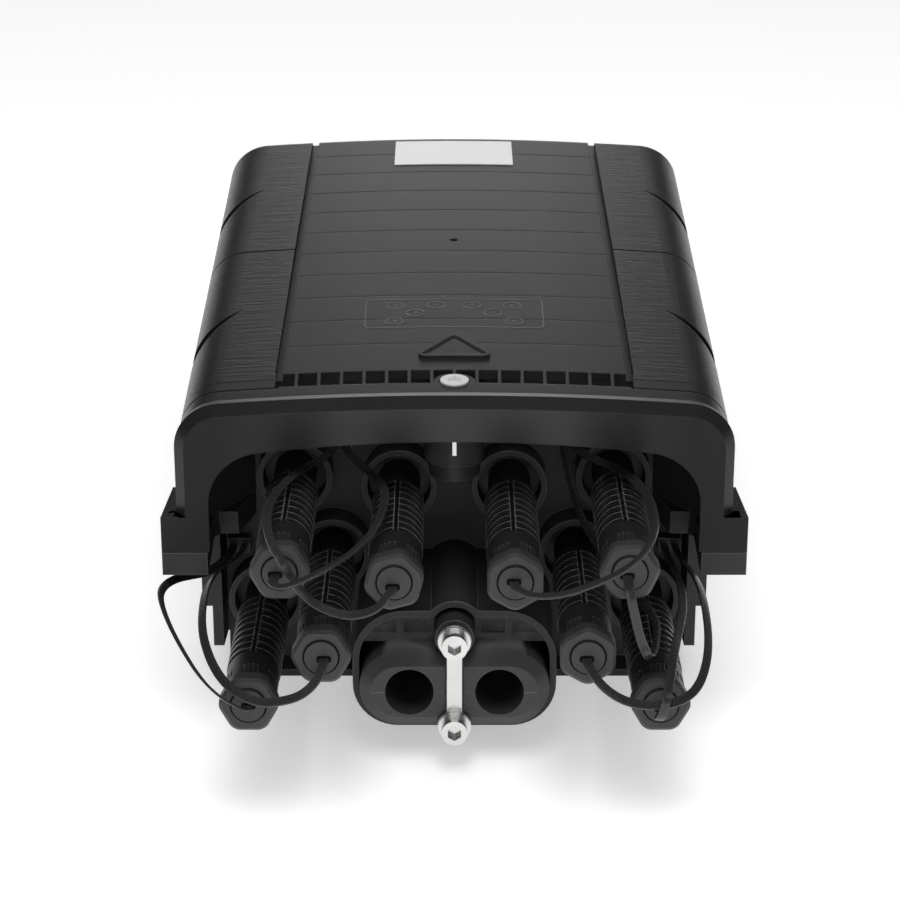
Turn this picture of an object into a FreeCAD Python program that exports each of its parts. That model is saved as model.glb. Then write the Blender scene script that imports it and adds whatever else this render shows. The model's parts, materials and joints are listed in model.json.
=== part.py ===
import FreeCAD, Part
import math
import os
from FreeCAD import Placement, Rotation, Vector

os.makedirs("parts", exist_ok=True)

# Frame: the origin is the middle of the mounting face, +Y runs to the hinge end, +Z to the cover.
# All sizes are millimetres and degrees.

# Case
case_length = 328.0
split_height = 74.0
split_gap = 0.4
seat_gap = 0.3

# Cover: a crowned section, a little narrower and lower at the hinge end
cover_rise = 63.0
cover_half_width = 106.0
cover_taper = 3.5
cover_drop = 2.0
cover_crown = 1200.0
cover_corner = 17.0
cover_wall = 4.0
cover_rear_fillet = 8.0

# Hood: the proud front band of the cover with the mouth over the ports
hood_proud = 2.0
hood_band = 5.4
hood_fillet = 4.5
hood_wall = 4.0
mouth_half_width = 94.4
mouth_rise = 46.7
mouth_crown = 606.0
mouth_corner = 22.0

# Ears at the lower corners of the hood, and the arms of the base under them
ear_half_width = 113.0
ear_length = 28.0
ear_rise = 15.0
ear_taper = 2.5
ear_root = 103.5
arm_half_width = 95.4

# Pattern of the cover's top
groove_x = 67.0
groove_width = 3.0
groove_depth = 2.8
seam_width = 1.6
seam_depth = 1.6
front_seam = 19.0
grille_start = 19.6
grille_length = 13.1
grille_slots = 16
grille_pitch = 8.6
grille_bar = 1.3
line_first = 60.0
line_pitch = 26.5
line_count = 10
line_width = 1.0
line_depth = 0.4
notch_inner_x = 85.5
notch_run = 25.0
notch_mouth = 14.0
notch_depth = 2.5
front_notch_y = -59.0
rear_notch_y = 92.0
sight_hole_radius = 1.8
sight_hole_y = 16.0
sight_hole_depth = 2.0

# Blank label near the hinge end
label_half_width = 28.0
label_length = 34.0
label_from_rear = 11.0
label_thickness = 0.35
label_gap = 0.05

# Cover bolt: drawn at its thread's core, in an insert drawn at its thread's full diameter
bolt_from_face = 21.6
bolt_radius = 3.0
bolt_core_radius = 2.4
bolt_head_radius = 5.5
bolt_head_height = 6.0
bolt_head_recess = 3.0
bolt_boss_radius = 8.0
bolt_boss_length = 10.0
bolt_hole_radius = 3.08
bolt_socket_across = 5.0
bolt_socket_depth = 3.0
thread_reach = 6.0
bolt_plain_end = 3.0
insert_bore_radius = 3.1
insert_radius = 5.0
insert_length = 7.6
tab_height = 33.0
tab_thickness = 8.0
tab_radius = 10.0
circlip_radius = 4.8
circlip_thickness = 1.2
bolt_travel = 10.0

# Base: a tray whose walls step in towards the mounting face
base_wall = 3.0
base_steps = ((0.0, 92.0), (14.0, 97.5), (32.0, 101.5))
flange_half_width = 106.0
flange_thickness = 9.5
base_rear_inset = 4.0
base_corner = 14.0
base_front = 37.4

# Port plate: leans back so that the ports point a little upwards
port_tilt = 6.4
plate_foot = 49.5
plate_wall = 3.0
plate_half_width = 92.5
upper_plate_half_width = 80.0
facet_run = 32.0
bulkhead_gasket = 4.0

# Ports, as their places on the plate
port_outer_x = 63.5
port_outer_z = 84.2
port_inner_x = 22.0
port_inner_z = 80.5
port_middle_x = 48.8
port_middle_z = 51.7
port_low_x = 75.8
port_low_z = 32.8
ring_radius = 15.0
ring_bore = 12.75
ring_length = 15.0

# Ribbed adapters
adapter_thread_radius = 9.0
adapter_thread_length = 15.0
adapter_hole_gap = 0.1
adapter_flange_radius = 12.4
adapter_flange = 3.0
adapter_bore = 4.6
adapter_end = 95.5
seal_thickness = 1.5
seal_inner_gap = 0.2
rib_first = 33.0
rib_pitch = 6.9
rib_count = 9
rib_radius = 10.2
rib_root = 8.5
rib_rise = 3.0
rib_land = 2.6
rib_slot_width = 1.8
spigot_radius = 7.0
spigot_length = 18.0
nut_across = 26.0
nut_height = 6.0

# Dust caps with octagonal heads
cap_gap = 0.5
cap_collar_radius = 10.7
cap_collar_length = 23.0
cap_head_across = 23.4
cap_head_height = 7.0
cap_head_chamfer = 1.0
cap_bore_gap = 0.08
cap_sides = 8
disc_radius = 6.5
disc_thickness = 1.9
disc_recess = 1.4

# Feeder gland, in the port plate's own directions
gland_z = 20.0
plug_half_width = 36.5
plug_half_height = 15.0
plug_front = 82.0
plug_back = 8.0
plug_chamfer = 1.5
cable_x = 17.3
cable_radius = 9.35
housing_wall = 2.5
housing_length = 72.0
housing_top = 29.5
housing_top_corner = 20.0
bump_radius = 12.0
bolt_up = 21.5
bolt_down = -13.4
gland_boss_radius = 7.5
flange_setback = 8.0
plug_flange = 6.0
rib_recess = 3.0
bridge_half_width = 2.9
bridge_end_radius = 6.4
bridge_thickness = 3.0
bridge_sink = 1.5
bridge_slot_gap = 0.6
clamp_bolt_radius = 3.0
clamp_bolt_length = 38.0
clamp_head_radius = 5.0
clamp_head_height = 6.0
clamp_socket_across = 5.0
clamp_socket_depth = 3.5
clamp_hole_gap = 0.15
clamp_washer_radius = 6.2
clamp_washer_thickness = 1.4

# Hinges at the far end
hinge_x = 60.0
hinge_back = 6.0
knuckle_radius = 5.4
knuckle_length = 18.0
lug_length = 9.0
lug_gap = 0.3
hinge_pin_radius = 2.5
hinge_pin_bore_gap = 0.05
knuckle_web = 12.0

# Wall fixing: four blind holes in bosses of the floor
fix_x = 60.0
fix_front_y = -70.0
fix_rear_y = 120.0
fix_radius = 3.3
fix_depth = 12.0
fix_boss_radius = 8.0

# Inside: frame, splice trays, splitter and the feeder's strain clamp
frame_half_width = 72.0
frame_front = -52.0
frame_rear = 136.0
frame_sheet = 2.0
frame_lip = 8.0
pillar_radius = 5.0
pillar_height = 16.0
tray_half_width = 70.0
tray_height = 11.0
tray_wall = 1.6
tray_corner = 18.0
coil_core_radius = 22.0
coil_gap = 46.0
splitter_length = 100.0
splitter_half_width = 30.0
splitter_height = 10.0
saddle_from_plate = 16.0
saddle_length = 12.0
saddle_half_width = 34.0
strap_height = 6.0
strap_screw_radius = 2.0
strap_screw_x = 0.0

# Tethers: a round section of the same area as the flat straps, and the studs that hold them in pairs
tether_radius = 1.0
tether_end_gap = 0.15
disc_lead = 4.5
anchor_lead = 10.0
anchor_half_width = 4.5
anchor_half_height = 3.0
anchor_depth = 7.0
anchor_pitch = 4.4
upper_anchor_x = 45.5
upper_anchor_z = 96.0
lower_anchor_x = 87.0
lower_anchor_z = 53.0

# For each tether: where it leaves its disc, its way through the air, its stud and its side of the stud
tether_routes = {
    1: (
        (-1.5, -0.5),
        [
            (-66.0, -239.0, 98.5),
            (-62.5, -242.0, 98.0),
            (-55.5, -241.0, 100.0),
            (-47.0, -234.0, 101.5),
            (-38.0, -222.0, 101.5),
            (-30.0, -208.0, 103.5),
            (-26.0, -184.0, 104.0),
            (-27.0, -160.0, 100.5),
            (-32.5, -142.0, 98.0),
        ],
        (-upper_anchor_x, upper_anchor_z),
        1,
    ),
    2: (
        (-0.5, -1.5),
        [
            (-24.5, -239.5, 93.5),
            (-27.0, -242.0, 90.5),
            (-32.0, -241.5, 87.5),
            (-39.0, -240.5, 86.0),
            (-46.0, -239.0, 87.5),
            (-52.0, -238.0, 90.5),
            (-56.0, -237.0, 95.0),
            (-59.5, -236.5, 100.0),
            (-62.5, -238.0, 107.5),
            (-66.5, -234.0, 113.0),
            (-69.0, -214.0, 112.0),
            (-69.0, -192.0, 108.5),
            (-66.0, -174.0, 106.5),
            (-61.0, -159.0, 105.5),
            (-55.5, -142.0, 101.5),
        ],
        (-upper_anchor_x, upper_anchor_z),
        -1,
    ),
    3: (
        (1.0, -0.5),
        [
            (-49.5, -242.5, 62.0),
            (-52.5, -244.5, 58.5),
            (-57.0, -245.5, 55.5),
            (-63.0, -246.0, 54.0),
            (-69.5, -246.5, 53.5),
            (-76.0, -246.0, 55.5),
            (-83.5, -240.0, 57.5),
            (-90.0, -226.0, 59.5),
            (-95.0, -204.0, 60.5),
            (-96.5, -180.0, 60.0),
            (-96.5, -156.0, 57.0),
            (-93.0, -137.0, 54.0),
        ],
        (-lower_anchor_x, lower_anchor_z),
        1,
    ),
    4: (
        (0.0, 0.0),
        [
            (-79.5, -242.5, 49.5),
            (-86.5, -240.0, 53.0),
            (-94.0, -230.0, 55.5),
            (-102.0, -213.0, 58.5),
            (-109.0, -195.0, 61.5),
            (-113.0, -179.0, 63.0),
            (-112.5, -166.0, 61.0),
            (-109.0, -154.0, 58.0),
            (-103.5, -144.0, 54.5),
            (-97.0, -136.0, 52.0),
        ],
        (-lower_anchor_x, lower_anchor_z),
        -1,
    ),
    5: (
        (-0.5, 0.5),
        [
            (25.5, -240.0, 94.5),
            (31.5, -241.0, 94.0),
            (40.0, -241.0, 95.0),
            (49.0, -240.0, 98.0),
            (58.5, -240.0, 102.5),
            (66.0, -240.0, 108.5),
            (71.0, -234.0, 113.0),
            (73.5, -214.0, 111.5),
            (73.0, -186.0, 108.0),
            (68.5, -160.0, 104.0),
            (61.5, -144.0, 101.5),
        ],
        (upper_anchor_x, upper_anchor_z),
        1,
    ),
    6: (
        (-1.0, -1.0),
        [
            (63.5, -239.0, 92.5),
            (65.0, -239.0, 85.5),
            (67.0, -238.0, 76.5),
            (69.5, -236.5, 69.5),
            (71.5, -233.0, 64.5),
            (73.5, -229.0, 65.5),
            (74.5, -225.0, 70.0),
            (74.5, -218.0, 73.0),
            (68.5, -201.5, 75.0),
            (62.5, -179.0, 73.0),
            (55.5, -156.5, 73.5),
            (48.5, -139.5, 80.0),
        ],
        (upper_anchor_x, upper_anchor_z),
        -1,
    ),
    7: (
        (-0.5, -0.5),
        [
            (51.0, -242.5, 62.0),
            (55.0, -244.5, 58.0),
            (60.5, -245.5, 54.5),
            (67.0, -246.0, 52.5),
            (75.0, -246.5, 52.5),
            (82.5, -245.0, 53.5),
            (89.0, -238.0, 55.0),
            (93.5, -222.0, 56.5),
            (96.0, -200.0, 56.5),
            (96.5, -176.0, 57.0),
            (96.0, -154.0, 55.5),
            (93.0, -137.0, 54.5),
        ],
        (lower_anchor_x, lower_anchor_z),
        1,
    ),
    8: (
        (0.0, -0.8),
        [
            (74.0, -245.0, 45.5),
            (75.5, -249.5, 50.0),
            (77.0, -248.5, 58.0),
            (79.0, -238.0, 62.5),
            (81.5, -220.0, 61.0),
            (85.0, -196.0, 57.5),
            (88.5, -172.0, 55.0),
            (89.0, -148.0, 54.0),
        ],
        (lower_anchor_x, lower_anchor_z),
        -1,
    ),
}

# Places worked out from the sizes above
front_y = -case_length / 2
rear_y = case_length / 2
crown_z = split_height + cover_rise
lean = math.tan(math.radians(port_tilt))
tilt_turn = Rotation(Vector(1, 0, 0), 90.0 - port_tilt)
plate_y = front_y + plate_foot
bolt_y = front_y + bolt_from_face
bolt_point = Vector(0, bolt_y, 0)
hinge_y = rear_y + hinge_back
base_rear = rear_y - base_rear_inset
base_front_y = front_y + base_front
flange_z = split_height - flange_thickness
inner_half_width = base_steps[-1][1] - base_wall
facet_end_x = base_steps[-1][1]
plug_radius = plug_half_height
far = 2 * case_length

ports = {
    1: (-port_outer_x, port_outer_z),
    2: (-port_inner_x, port_inner_z),
    3: (-port_middle_x, port_middle_z),
    4: (-port_low_x, port_low_z),
    5: (port_inner_x, port_inner_z),
    6: (port_outer_x, port_outer_z),
    7: (port_middle_x, port_middle_z),
    8: (port_low_x, port_low_z),
}


# Small helpers for solids
def box(x0, x1, y0, y1, z0, z1):
    return Part.makeBox(x1 - x0, y1 - y0, z1 - z0, Vector(x0, y0, z0))


def post(radius, x, y, z0, z1):
    return Part.makeCylinder(radius, z1 - z0, Vector(x, y, z0))


def cross_bar(radius, x0, x1, y, z):
    return Part.makeCylinder(radius, x1 - x0, Vector(x0, y, z), Vector(1, 0, 0))


def mirrored(shape):
    return shape.mirror(Vector(0, 0, 0), Vector(1, 0, 0))


def both_sides(shape):
    return shape.fuse(mirrored(shape))


def plan_prism(points, z0, z1, slope=0.0):
    corners = [Vector(x, y + slope * z0, z0) for x, y in points]
    face = Part.Face(Part.makePolygon(corners + corners[:1]))
    return face.extrude(Vector(0, slope * (z1 - z0), z1 - z0))


def turned(profile):
    corners = [Vector(radius, 0, along) for radius, along in profile]
    face = Part.Face(Part.makePolygon(corners + corners[:1]))
    return face.revolve(Vector(0, 0, 0), Vector(0, 0, 1), 360)


def regular_prism(sides, across, z0, z1):
    reach = across / 2 / math.cos(math.pi / sides)
    turn = 2 * math.pi / sides
    corners = []
    for side in range(sides):
        angle = turn * (side + 0.5)
        corners.append((reach * math.cos(angle), reach * math.sin(angle)))
    return plan_prism(corners, z0, z1)


def rounded_prism(corners, z0, z1):
    """Prism on a closed outline of (x, y, corner radius)."""
    points = [Vector(x, y, z0) for x, y, radius in corners]
    edges = []
    arcs = []
    for index, (x, y, radius) in enumerate(corners):
        here = points[index]
        back = (points[index - 1] - here).normalize()
        ahead = (points[(index + 1) % len(points)] - here).normalize()
        half = back.getAngle(ahead) / 2
        reach = radius / math.tan(half)
        middle = (back + ahead).normalize()
        centre = here + middle * (radius / math.sin(half))
        arcs.append((here + back * reach, centre - middle * radius, here + ahead * reach))
    for index, (start, middle, end) in enumerate(arcs):
        if corners[index][2] > 0:
            edges.append(Part.Arc(start, middle, end).toShape())
        following = arcs[(index + 1) % len(arcs)][0]
        if (following - end).Length > 1e-6:
            edges.append(Part.LineSegment(end, following).toShape())
    face = Part.Face(Part.Wire(edges))
    return face.extrude(Vector(0, 0, z1 - z0))


def stadium(half_width, low, high, low_corner, high_corner, z0, z1):
    corners = [
        (-half_width, low, low_corner),
        (half_width, low, low_corner),
        (half_width, high, high_corner),
        (-half_width, high, high_corner),
    ]
    return rounded_prism(corners, z0, z1)


def on_plate(shape, x, z):
    """Put a solid, made with its +Z outwards, on the front of the port plate."""
    placed = shape.copy()
    placed.Placement = Placement(Vector(x, plate_y + lean * z, z), tilt_turn)
    return placed


def group(shapes):
    return Part.makeCompound(shapes)


def save(name, shape):
    shape.exportStep("parts/" + name + ".step")


# Sections of the cover
def arched_wire(half_width, top, crown, corner, bottom, y):
    centre_x = half_width - corner
    crown_centre = top - crown
    centre_z = crown_centre + math.sqrt((crown - corner) ** 2 - centre_x ** 2)
    reach = crown / (crown - corner)
    shoulder_x = centre_x * reach
    shoulder_z = crown_centre + (centre_z - crown_centre) * reach
    half_turn = math.atan2(centre_z - crown_centre, centre_x) / 2
    bend_x = centre_x + corner * math.cos(half_turn)
    bend_z = centre_z + corner * math.sin(half_turn)

    def at(x, z):
        return Vector(x, y, z)

    edges = [
        Part.LineSegment(at(-half_width, bottom), at(half_width, bottom)),
        Part.LineSegment(at(half_width, bottom), at(half_width, centre_z)),
        Part.Arc(at(half_width, centre_z), at(bend_x, bend_z), at(shoulder_x, shoulder_z)),
        Part.Arc(at(shoulder_x, shoulder_z), at(0, top), at(-shoulder_x, shoulder_z)),
        Part.Arc(at(-shoulder_x, shoulder_z), at(-bend_x, bend_z), at(-half_width, centre_z)),
        Part.LineSegment(at(-half_width, centre_z), at(-half_width, bottom)),
    ]
    return Part.Wire([edge.toShape() for edge in edges])


def cover_section(y, grow, bottom):
    share = (y - front_y) / case_length
    half_width = cover_half_width - cover_taper * share + grow
    top = crown_z - cover_drop * share + grow
    return arched_wire(half_width, top, cover_crown + grow, cover_corner + grow, bottom, y)


def cover_form(y0, y1, grow, bottom):
    wires = [cover_section(y0, grow, bottom), cover_section(y1, grow, bottom)]
    return Part.makeLoft(wires, True, True)


def outline_edges(shape, y, bottom):
    """Edges in the plane at y, apart from the one along the bottom."""
    found = []
    for edge in shape.Edges:
        box_of_edge = edge.BoundBox
        flat = abs(box_of_edge.YMin - y) < 0.01 and abs(box_of_edge.YMax - y) < 0.01
        if flat and box_of_edge.ZMax > bottom + 1.0:
            found.append(edge)
    return found


cover_bottom = split_height + split_gap


def cover_skin(depth):
    """Outer layer of the cover, of the given depth, for grooves of even depth."""
    above = cover_form(front_y, rear_y + 1.0, 1.0, cover_bottom - 1.0)
    return above.cut(cover_form(front_y - 1.0, rear_y + 2.0, -depth, cover_bottom - 2.0))


def groove_cutter():
    high = crown_z + 10.0
    start = front_y + grille_start + grille_length
    groove = box(groove_x - groove_width / 2, groove_x + groove_width / 2, start, rear_y + 2, 0, high)
    return cover_skin(groove_depth).common(both_sides(groove))


def seam_cutter():
    high = crown_z + 10.0
    cuts = []
    for y in (front_y + front_seam, 0.0):
        seam = box(groove_x, far, y - seam_width / 2, y + seam_width / 2, 0, high)
        cuts += [seam, mirrored(seam)]
    return cover_skin(seam_depth).common(group(cuts))


def line_cutter():
    cuts = []
    for index in range(line_count):
        y = front_y + line_first + index * line_pitch
        cuts.append(box(-groove_x, groove_x, y, y + line_width, 0, far))
    return cover_skin(line_depth).common(group(cuts))


def notch_cutter():
    wide = cover_half_width + 2.0
    cuts = []
    for y in (front_notch_y, rear_notch_y):
        wedge = [(notch_inner_x, y), (wide, y - notch_run), (wide, y - notch_run - notch_mouth)]
        notch = plan_prism(wedge, cover_bottom + 30.0, far)
        cuts += [notch, mirrored(notch)]
    return cover_skin(notch_depth).common(group(cuts))


def grille_cutter():
    y0 = front_y + grille_start
    first = -grille_pitch * (grille_slots - 1) / 2
    half = (grille_pitch - grille_bar) / 2
    cuts = []
    for index in range(grille_slots):
        x = first + index * grille_pitch
        cuts.append(box(x - half, x + half, y0, y0 + grille_length, crown_z - 20.0, far))
    return group(cuts)


def make_cover():
    outer = cover_form(front_y, rear_y, 0.0, cover_bottom)
    outer = outer.makeFillet(cover_rear_fillet, outline_edges(outer, rear_y, cover_bottom))
    hood = cover_form(front_y, front_y + hood_band, hood_proud, cover_bottom)
    hood = hood.makeFillet(hood_fillet, outline_edges(hood, front_y, cover_bottom))
    ear = plan_prism(
        [
            (ear_root, front_y),
            (ear_half_width, front_y),
            (ear_half_width - ear_taper, front_y + ear_length),
            (ear_root, front_y + ear_length),
        ],
        cover_bottom,
        split_height + ear_rise,
    )
    solid = outer.fuse([hood, ear, mirrored(ear)])
    inner = cover_form(front_y + hood_wall, rear_y - cover_wall, -cover_wall, split_height - 10.0)
    mouth_wires = []
    for y in (front_y - 1.0, front_y + hood_wall + 1.0):
        top = split_height + mouth_rise
        mouth_wires.append(arched_wire(mouth_half_width, top, mouth_crown, mouth_corner, split_height - 10, y))
    mouth = Part.makeLoft(mouth_wires, True, True)
    solid = solid.cut([inner, mouth, grille_cutter()])

    # Sleeve of the captive bolt
    seat = crown_z - bolt_head_recess
    solid = solid.fuse(post(bolt_boss_radius, 0, bolt_y, seat - bolt_boss_length, crown_z - 0.5))
    solid = solid.cut(post(bolt_hole_radius, 0, bolt_y, seat - bolt_boss_length - 1, far))
    solid = solid.cut(post(bolt_head_radius + seat_gap, 0, bolt_y, seat, far))

    # Pattern of the top
    pattern = [groove_cutter(), seam_cutter(), line_cutter(), notch_cutter()]
    solid = solid.cut(pattern)
    sight_bottom = crown_z - cover_drop / 2 - sight_hole_depth
    solid = solid.cut(post(sight_hole_radius, 0, sight_hole_y, sight_bottom, far))

    # Knuckles between the lugs of the base
    knuckles = []
    for x in (-hinge_x, hinge_x):
        x0 = x - knuckle_length / 2
        x1 = x + knuckle_length / 2
        barrel = cross_bar(knuckle_radius, x0, x1, hinge_y, split_height)
        web = box(x0, x1, rear_y - 1.0, hinge_y, cover_bottom, split_height + knuckle_web)
        slope = box(x0, x1, rear_y, hinge_y + knuckle_radius, split_height + knuckle_radius, far)
        knuckles.append(barrel.fuse(web.cut(slope)))
    solid = solid.fuse(knuckles)
    pin_bore = hinge_pin_radius + hinge_pin_bore_gap
    solid = solid.cut(cross_bar(pin_bore, -far, far, hinge_y, split_height))
    return solid.removeSplitter()


def make_label():
    y1 = rear_y - label_from_rear
    layer = cover_form(front_y, rear_y, label_gap + label_thickness, cover_bottom)
    layer = layer.cut(cover_form(front_y - 1.0, rear_y + 1.0, label_gap, cover_bottom - 1.0))
    return layer.common(box(-label_half_width, label_half_width, y1 - label_length, y1, cover_bottom, far))


# Captive bolt, its ring and its insert
def make_cover_bolt():
    seat = crown_z - bolt_head_recess
    tip = split_height + tab_height - thread_reach
    head = post(bolt_head_radius, 0, bolt_y, seat, seat + bolt_head_height)
    socket = regular_prism(6, bolt_socket_across, seat + bolt_head_height - bolt_socket_depth, far)
    socket.translate(bolt_point)
    shank = post(bolt_radius, 0, bolt_y, split_height + tab_height + bolt_plain_end, seat)
    core = post(bolt_core_radius, 0, bolt_y, tip, split_height + tab_height + bolt_plain_end)
    return head.cut(socket).fuse([shank, core]).removeSplitter()


def make_circlip():
    boss_end = crown_z - bolt_head_recess - bolt_boss_length
    top = boss_end - bolt_travel - seat_gap
    ring = post(circlip_radius, 0, bolt_y, top - circlip_thickness, top)
    return ring.cut(post(bolt_radius, 0, bolt_y, top - 2 * circlip_thickness, top + 1))


def make_insert():
    top = split_height + tab_height
    ring = post(insert_radius, 0, bolt_y, top - insert_length, top)
    return ring.cut(post(insert_bore_radius, 0, bolt_y, top - insert_length - 1, top + 1))


# Base
def tray_prism(half_width, y0, y1, corner, z0, z1):
    corners = [(-half_width, y0, 0), (half_width, y0, 0), (half_width, y1, corner), (-half_width, y1, corner)]
    return rounded_prism(corners, z0, z1)


def bulkhead_strip(z0, z1):
    """Upper part of the port plate with the slanted facets beside it."""
    front = [
        (-facet_end_x, plate_y - facet_run),
        (-upper_plate_half_width, plate_y),
        (upper_plate_half_width, plate_y),
        (facet_end_x, plate_y - facet_run),
    ]
    back = [(x, y + plate_wall) for x, y in reversed(front)]
    return plan_prism(front + back, z0, z1, lean)


def under_cover(inset, bottom):
    return cover_form(front_y, rear_y, -cover_wall - inset, bottom)


def make_base():
    levels = list(base_steps) + [(flange_z, flange_half_width)]
    tops = [level[0] for level in levels[1:]] + [split_height]
    solid = None
    for (low, half_width), high in zip(levels, tops):
        rear = rear_y if half_width == flange_half_width else base_rear
        step = tray_prism(half_width, base_front_y, rear, base_corner, low, high)
        solid = step if solid is None else solid.fuse(step)

    # Arms that carry the hood's corners
    arm = box(arm_half_width, flange_half_width, front_y, base_front_y + 1, flange_z, split_height)
    ear = box(flange_half_width - 1, ear_half_width, front_y, front_y + ear_length, flange_z, split_height)
    solid = solid.fuse([arm, ear, mirrored(arm), mirrored(ear)])

    # Room behind the port plate, stepping with the walls, and the bay in front of it
    high = split_height + 1.0
    rooms = []
    for low, half_width in base_steps:
        wide = half_width - base_wall
        room = tray_prism(wide, front_y, base_rear - base_wall, base_corner - base_wall, low + base_wall, high)
        rooms.append(room)
    room = rooms[0].fuse(rooms[1:])
    behind = plan_prism(
        [
            (-far, plate_y + plate_wall),
            (far, plate_y + plate_wall),
            (far, far),
            (-far, far),
        ],
        -1.0,
        far,
        lean,
    )
    bay_edge = plate_half_width + base_wall
    bay = plan_prism(
        [
            (-bay_edge, front_y),
            (bay_edge, front_y),
            (plate_half_width, plate_y),
            (-plate_half_width, plate_y),
        ],
        base_wall,
        high,
        lean,
    )
    upper_bay = plan_prism(
        [
            (-arm_half_width, front_y - 1),
            (arm_half_width, front_y - 1),
            (upper_plate_half_width, plate_y),
            (-upper_plate_half_width, plate_y),
        ],
        flange_z,
        high,
        lean,
    )
    solid = solid.cut([room.common(behind), bay.common(box(-far, far, -far, far, base_wall, flange_z))])
    solid = solid.cut(upper_bay)

    # Port plate above the rim
    strip = bulkhead_strip(flange_z, crown_z)
    strip = strip.common(under_cover(bulkhead_gasket + seat_gap, flange_z - 1))
    solid = solid.fuse(strip)

    # Tab that holds the cover bolt's insert
    tab_top = split_height + tab_height
    tab_end = plate_y + lean * tab_top + 1.0
    tab = box(-tab_radius, tab_radius, bolt_y, tab_end, tab_top - tab_thickness, tab_top)
    tab = tab.fuse(post(tab_radius, 0, bolt_y, tab_top - tab_thickness, tab_top))
    solid = solid.fuse(tab)
    solid = solid.cut(post(insert_radius, 0, bolt_y, tab_top - insert_length, tab_top + 1))

    # Port rings
    rings = []
    holes = []
    for x, z in ports.values():
        ring = turned([(ring_bore, -1), (ring_radius, -1), (ring_radius, ring_length), (ring_bore, ring_length)])
        hole_radius = adapter_thread_radius + adapter_hole_gap
        hole = Part.makeCylinder(hole_radius, 20, Vector(0, 0, -10))
        rings.append(on_plate(ring, x, z))
        holes.append(on_plate(hole, x, z))
    solid = solid.fuse(rings)
    solid = solid.cut(holes)

    # Gland housing with the bump of the upper clamp bolt
    low = -plug_half_height - seat_gap - housing_wall
    wide = plug_half_width + seat_gap + housing_wall
    housing = stadium(wide, low, housing_top, plug_radius + housing_wall, housing_top_corner, -1, housing_length)
    bump = Part.makeCylinder(bump_radius, housing_length + 1, Vector(0, bolt_up, -1))
    hollow = housing_hollow(0.0, 0, housing_length + 1)
    boss = Part.makeCylinder(gland_boss_radius, plug_front - bridge_sink, Vector(0, bolt_up, 0))
    bolt_hole = Part.makeCylinder(clamp_bolt_radius + clamp_hole_gap, plug_front, Vector(0, bolt_up, plate_wall))
    passage = stadium(
        plug_half_width - housing_wall,
        -plug_half_height + housing_wall,
        plug_half_height - housing_wall,
        plug_radius - housing_wall,
        plug_radius - housing_wall,
        -20,
        20,
    )
    lower_depth = plug_front - clamp_bolt_length
    lower_hole = Part.makeCylinder(clamp_bolt_radius + clamp_hole_gap, far, Vector(0, bolt_down, lower_depth))
    housing = housing.fuse(bump).cut(hollow).fuse(boss).cut([bolt_hole, lower_hole])
    solid = solid.fuse(on_plate(housing, 0, gland_z))
    floor_guard = box(-far, far, -far, far, base_wall, far)
    solid = solid.cut(on_plate(passage, 0, gland_z).common(floor_guard))
    solid = solid.cut(box(-far, far, -far, far, -20, 0))

    # Saddle of the feeder's strain clamp
    solid = solid.fuse(make_saddle())

    # Lugs of the hinges
    lugs = []
    for x in (-hinge_x, hinge_x):
        for side in (-1, 1):
            near = x + side * (knuckle_length / 2 + lug_gap)
            x0 = min(near, near + side * lug_length)
            barrel = cross_bar(knuckle_radius, x0, x0 + lug_length, hinge_y, split_height)
            web = box(x0, x0 + lug_length, rear_y - 1, hinge_y, split_height - knuckle_web / 2, split_height)
            lugs.append(barrel.fuse(web))
    solid = solid.fuse(lugs)
    pin_bore = hinge_pin_radius + hinge_pin_bore_gap
    solid = solid.cut(cross_bar(pin_bore, -far, far, hinge_y, split_height))

    # Fixing bosses and the pillars of the frame
    bosses = []
    bores = []
    for x in (-fix_x, fix_x):
        for y in (fix_front_y, fix_rear_y):
            bosses.append(post(fix_boss_radius, x, y, 0, fix_depth + base_wall))
            bores.append(post(fix_radius, x, y, -1, fix_depth))
    solid = solid.fuse(bosses)
    solid = solid.cut(bores)
    return solid.cut(gasket_groove()).removeSplitter()


# Gasket: a strip in the rim of the base that climbs over the port plate
gasket_width = 3.0
gasket_depth = 2.5
gasket_inset = 2.0


def gasket_strip(grow, z0, z1):
    half_outer = inner_half_width + gasket_inset + gasket_width + grow
    half_inner = inner_half_width + gasket_inset - grow
    rear_outer = base_rear - base_wall + gasket_inset + gasket_width + grow
    rear_inner = base_rear - base_wall + gasket_inset - grow
    start = plate_y + lean * split_height - facet_run
    outer = tray_prism(half_outer, start, rear_outer, base_corner, z0, z1)
    return outer.cut(tray_prism(half_inner, start - 1, rear_inner, base_corner - gasket_width, z0 - 1, z1 + 1))


def gasket_groove():
    return gasket_strip(0.0, split_height - gasket_depth, split_height + 1)


def make_gasket():
    rim = gasket_strip(0.0, split_height - gasket_depth, split_height + split_gap - seat_gap)
    arch = bulkhead_strip(flange_z, crown_z)
    arch = arch.common(under_cover(seat_gap, split_height))
    arch = arch.cut(under_cover(bulkhead_gasket + seat_gap, flange_z - 1))
    return rim.fuse(arch).removeSplitter()


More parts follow.
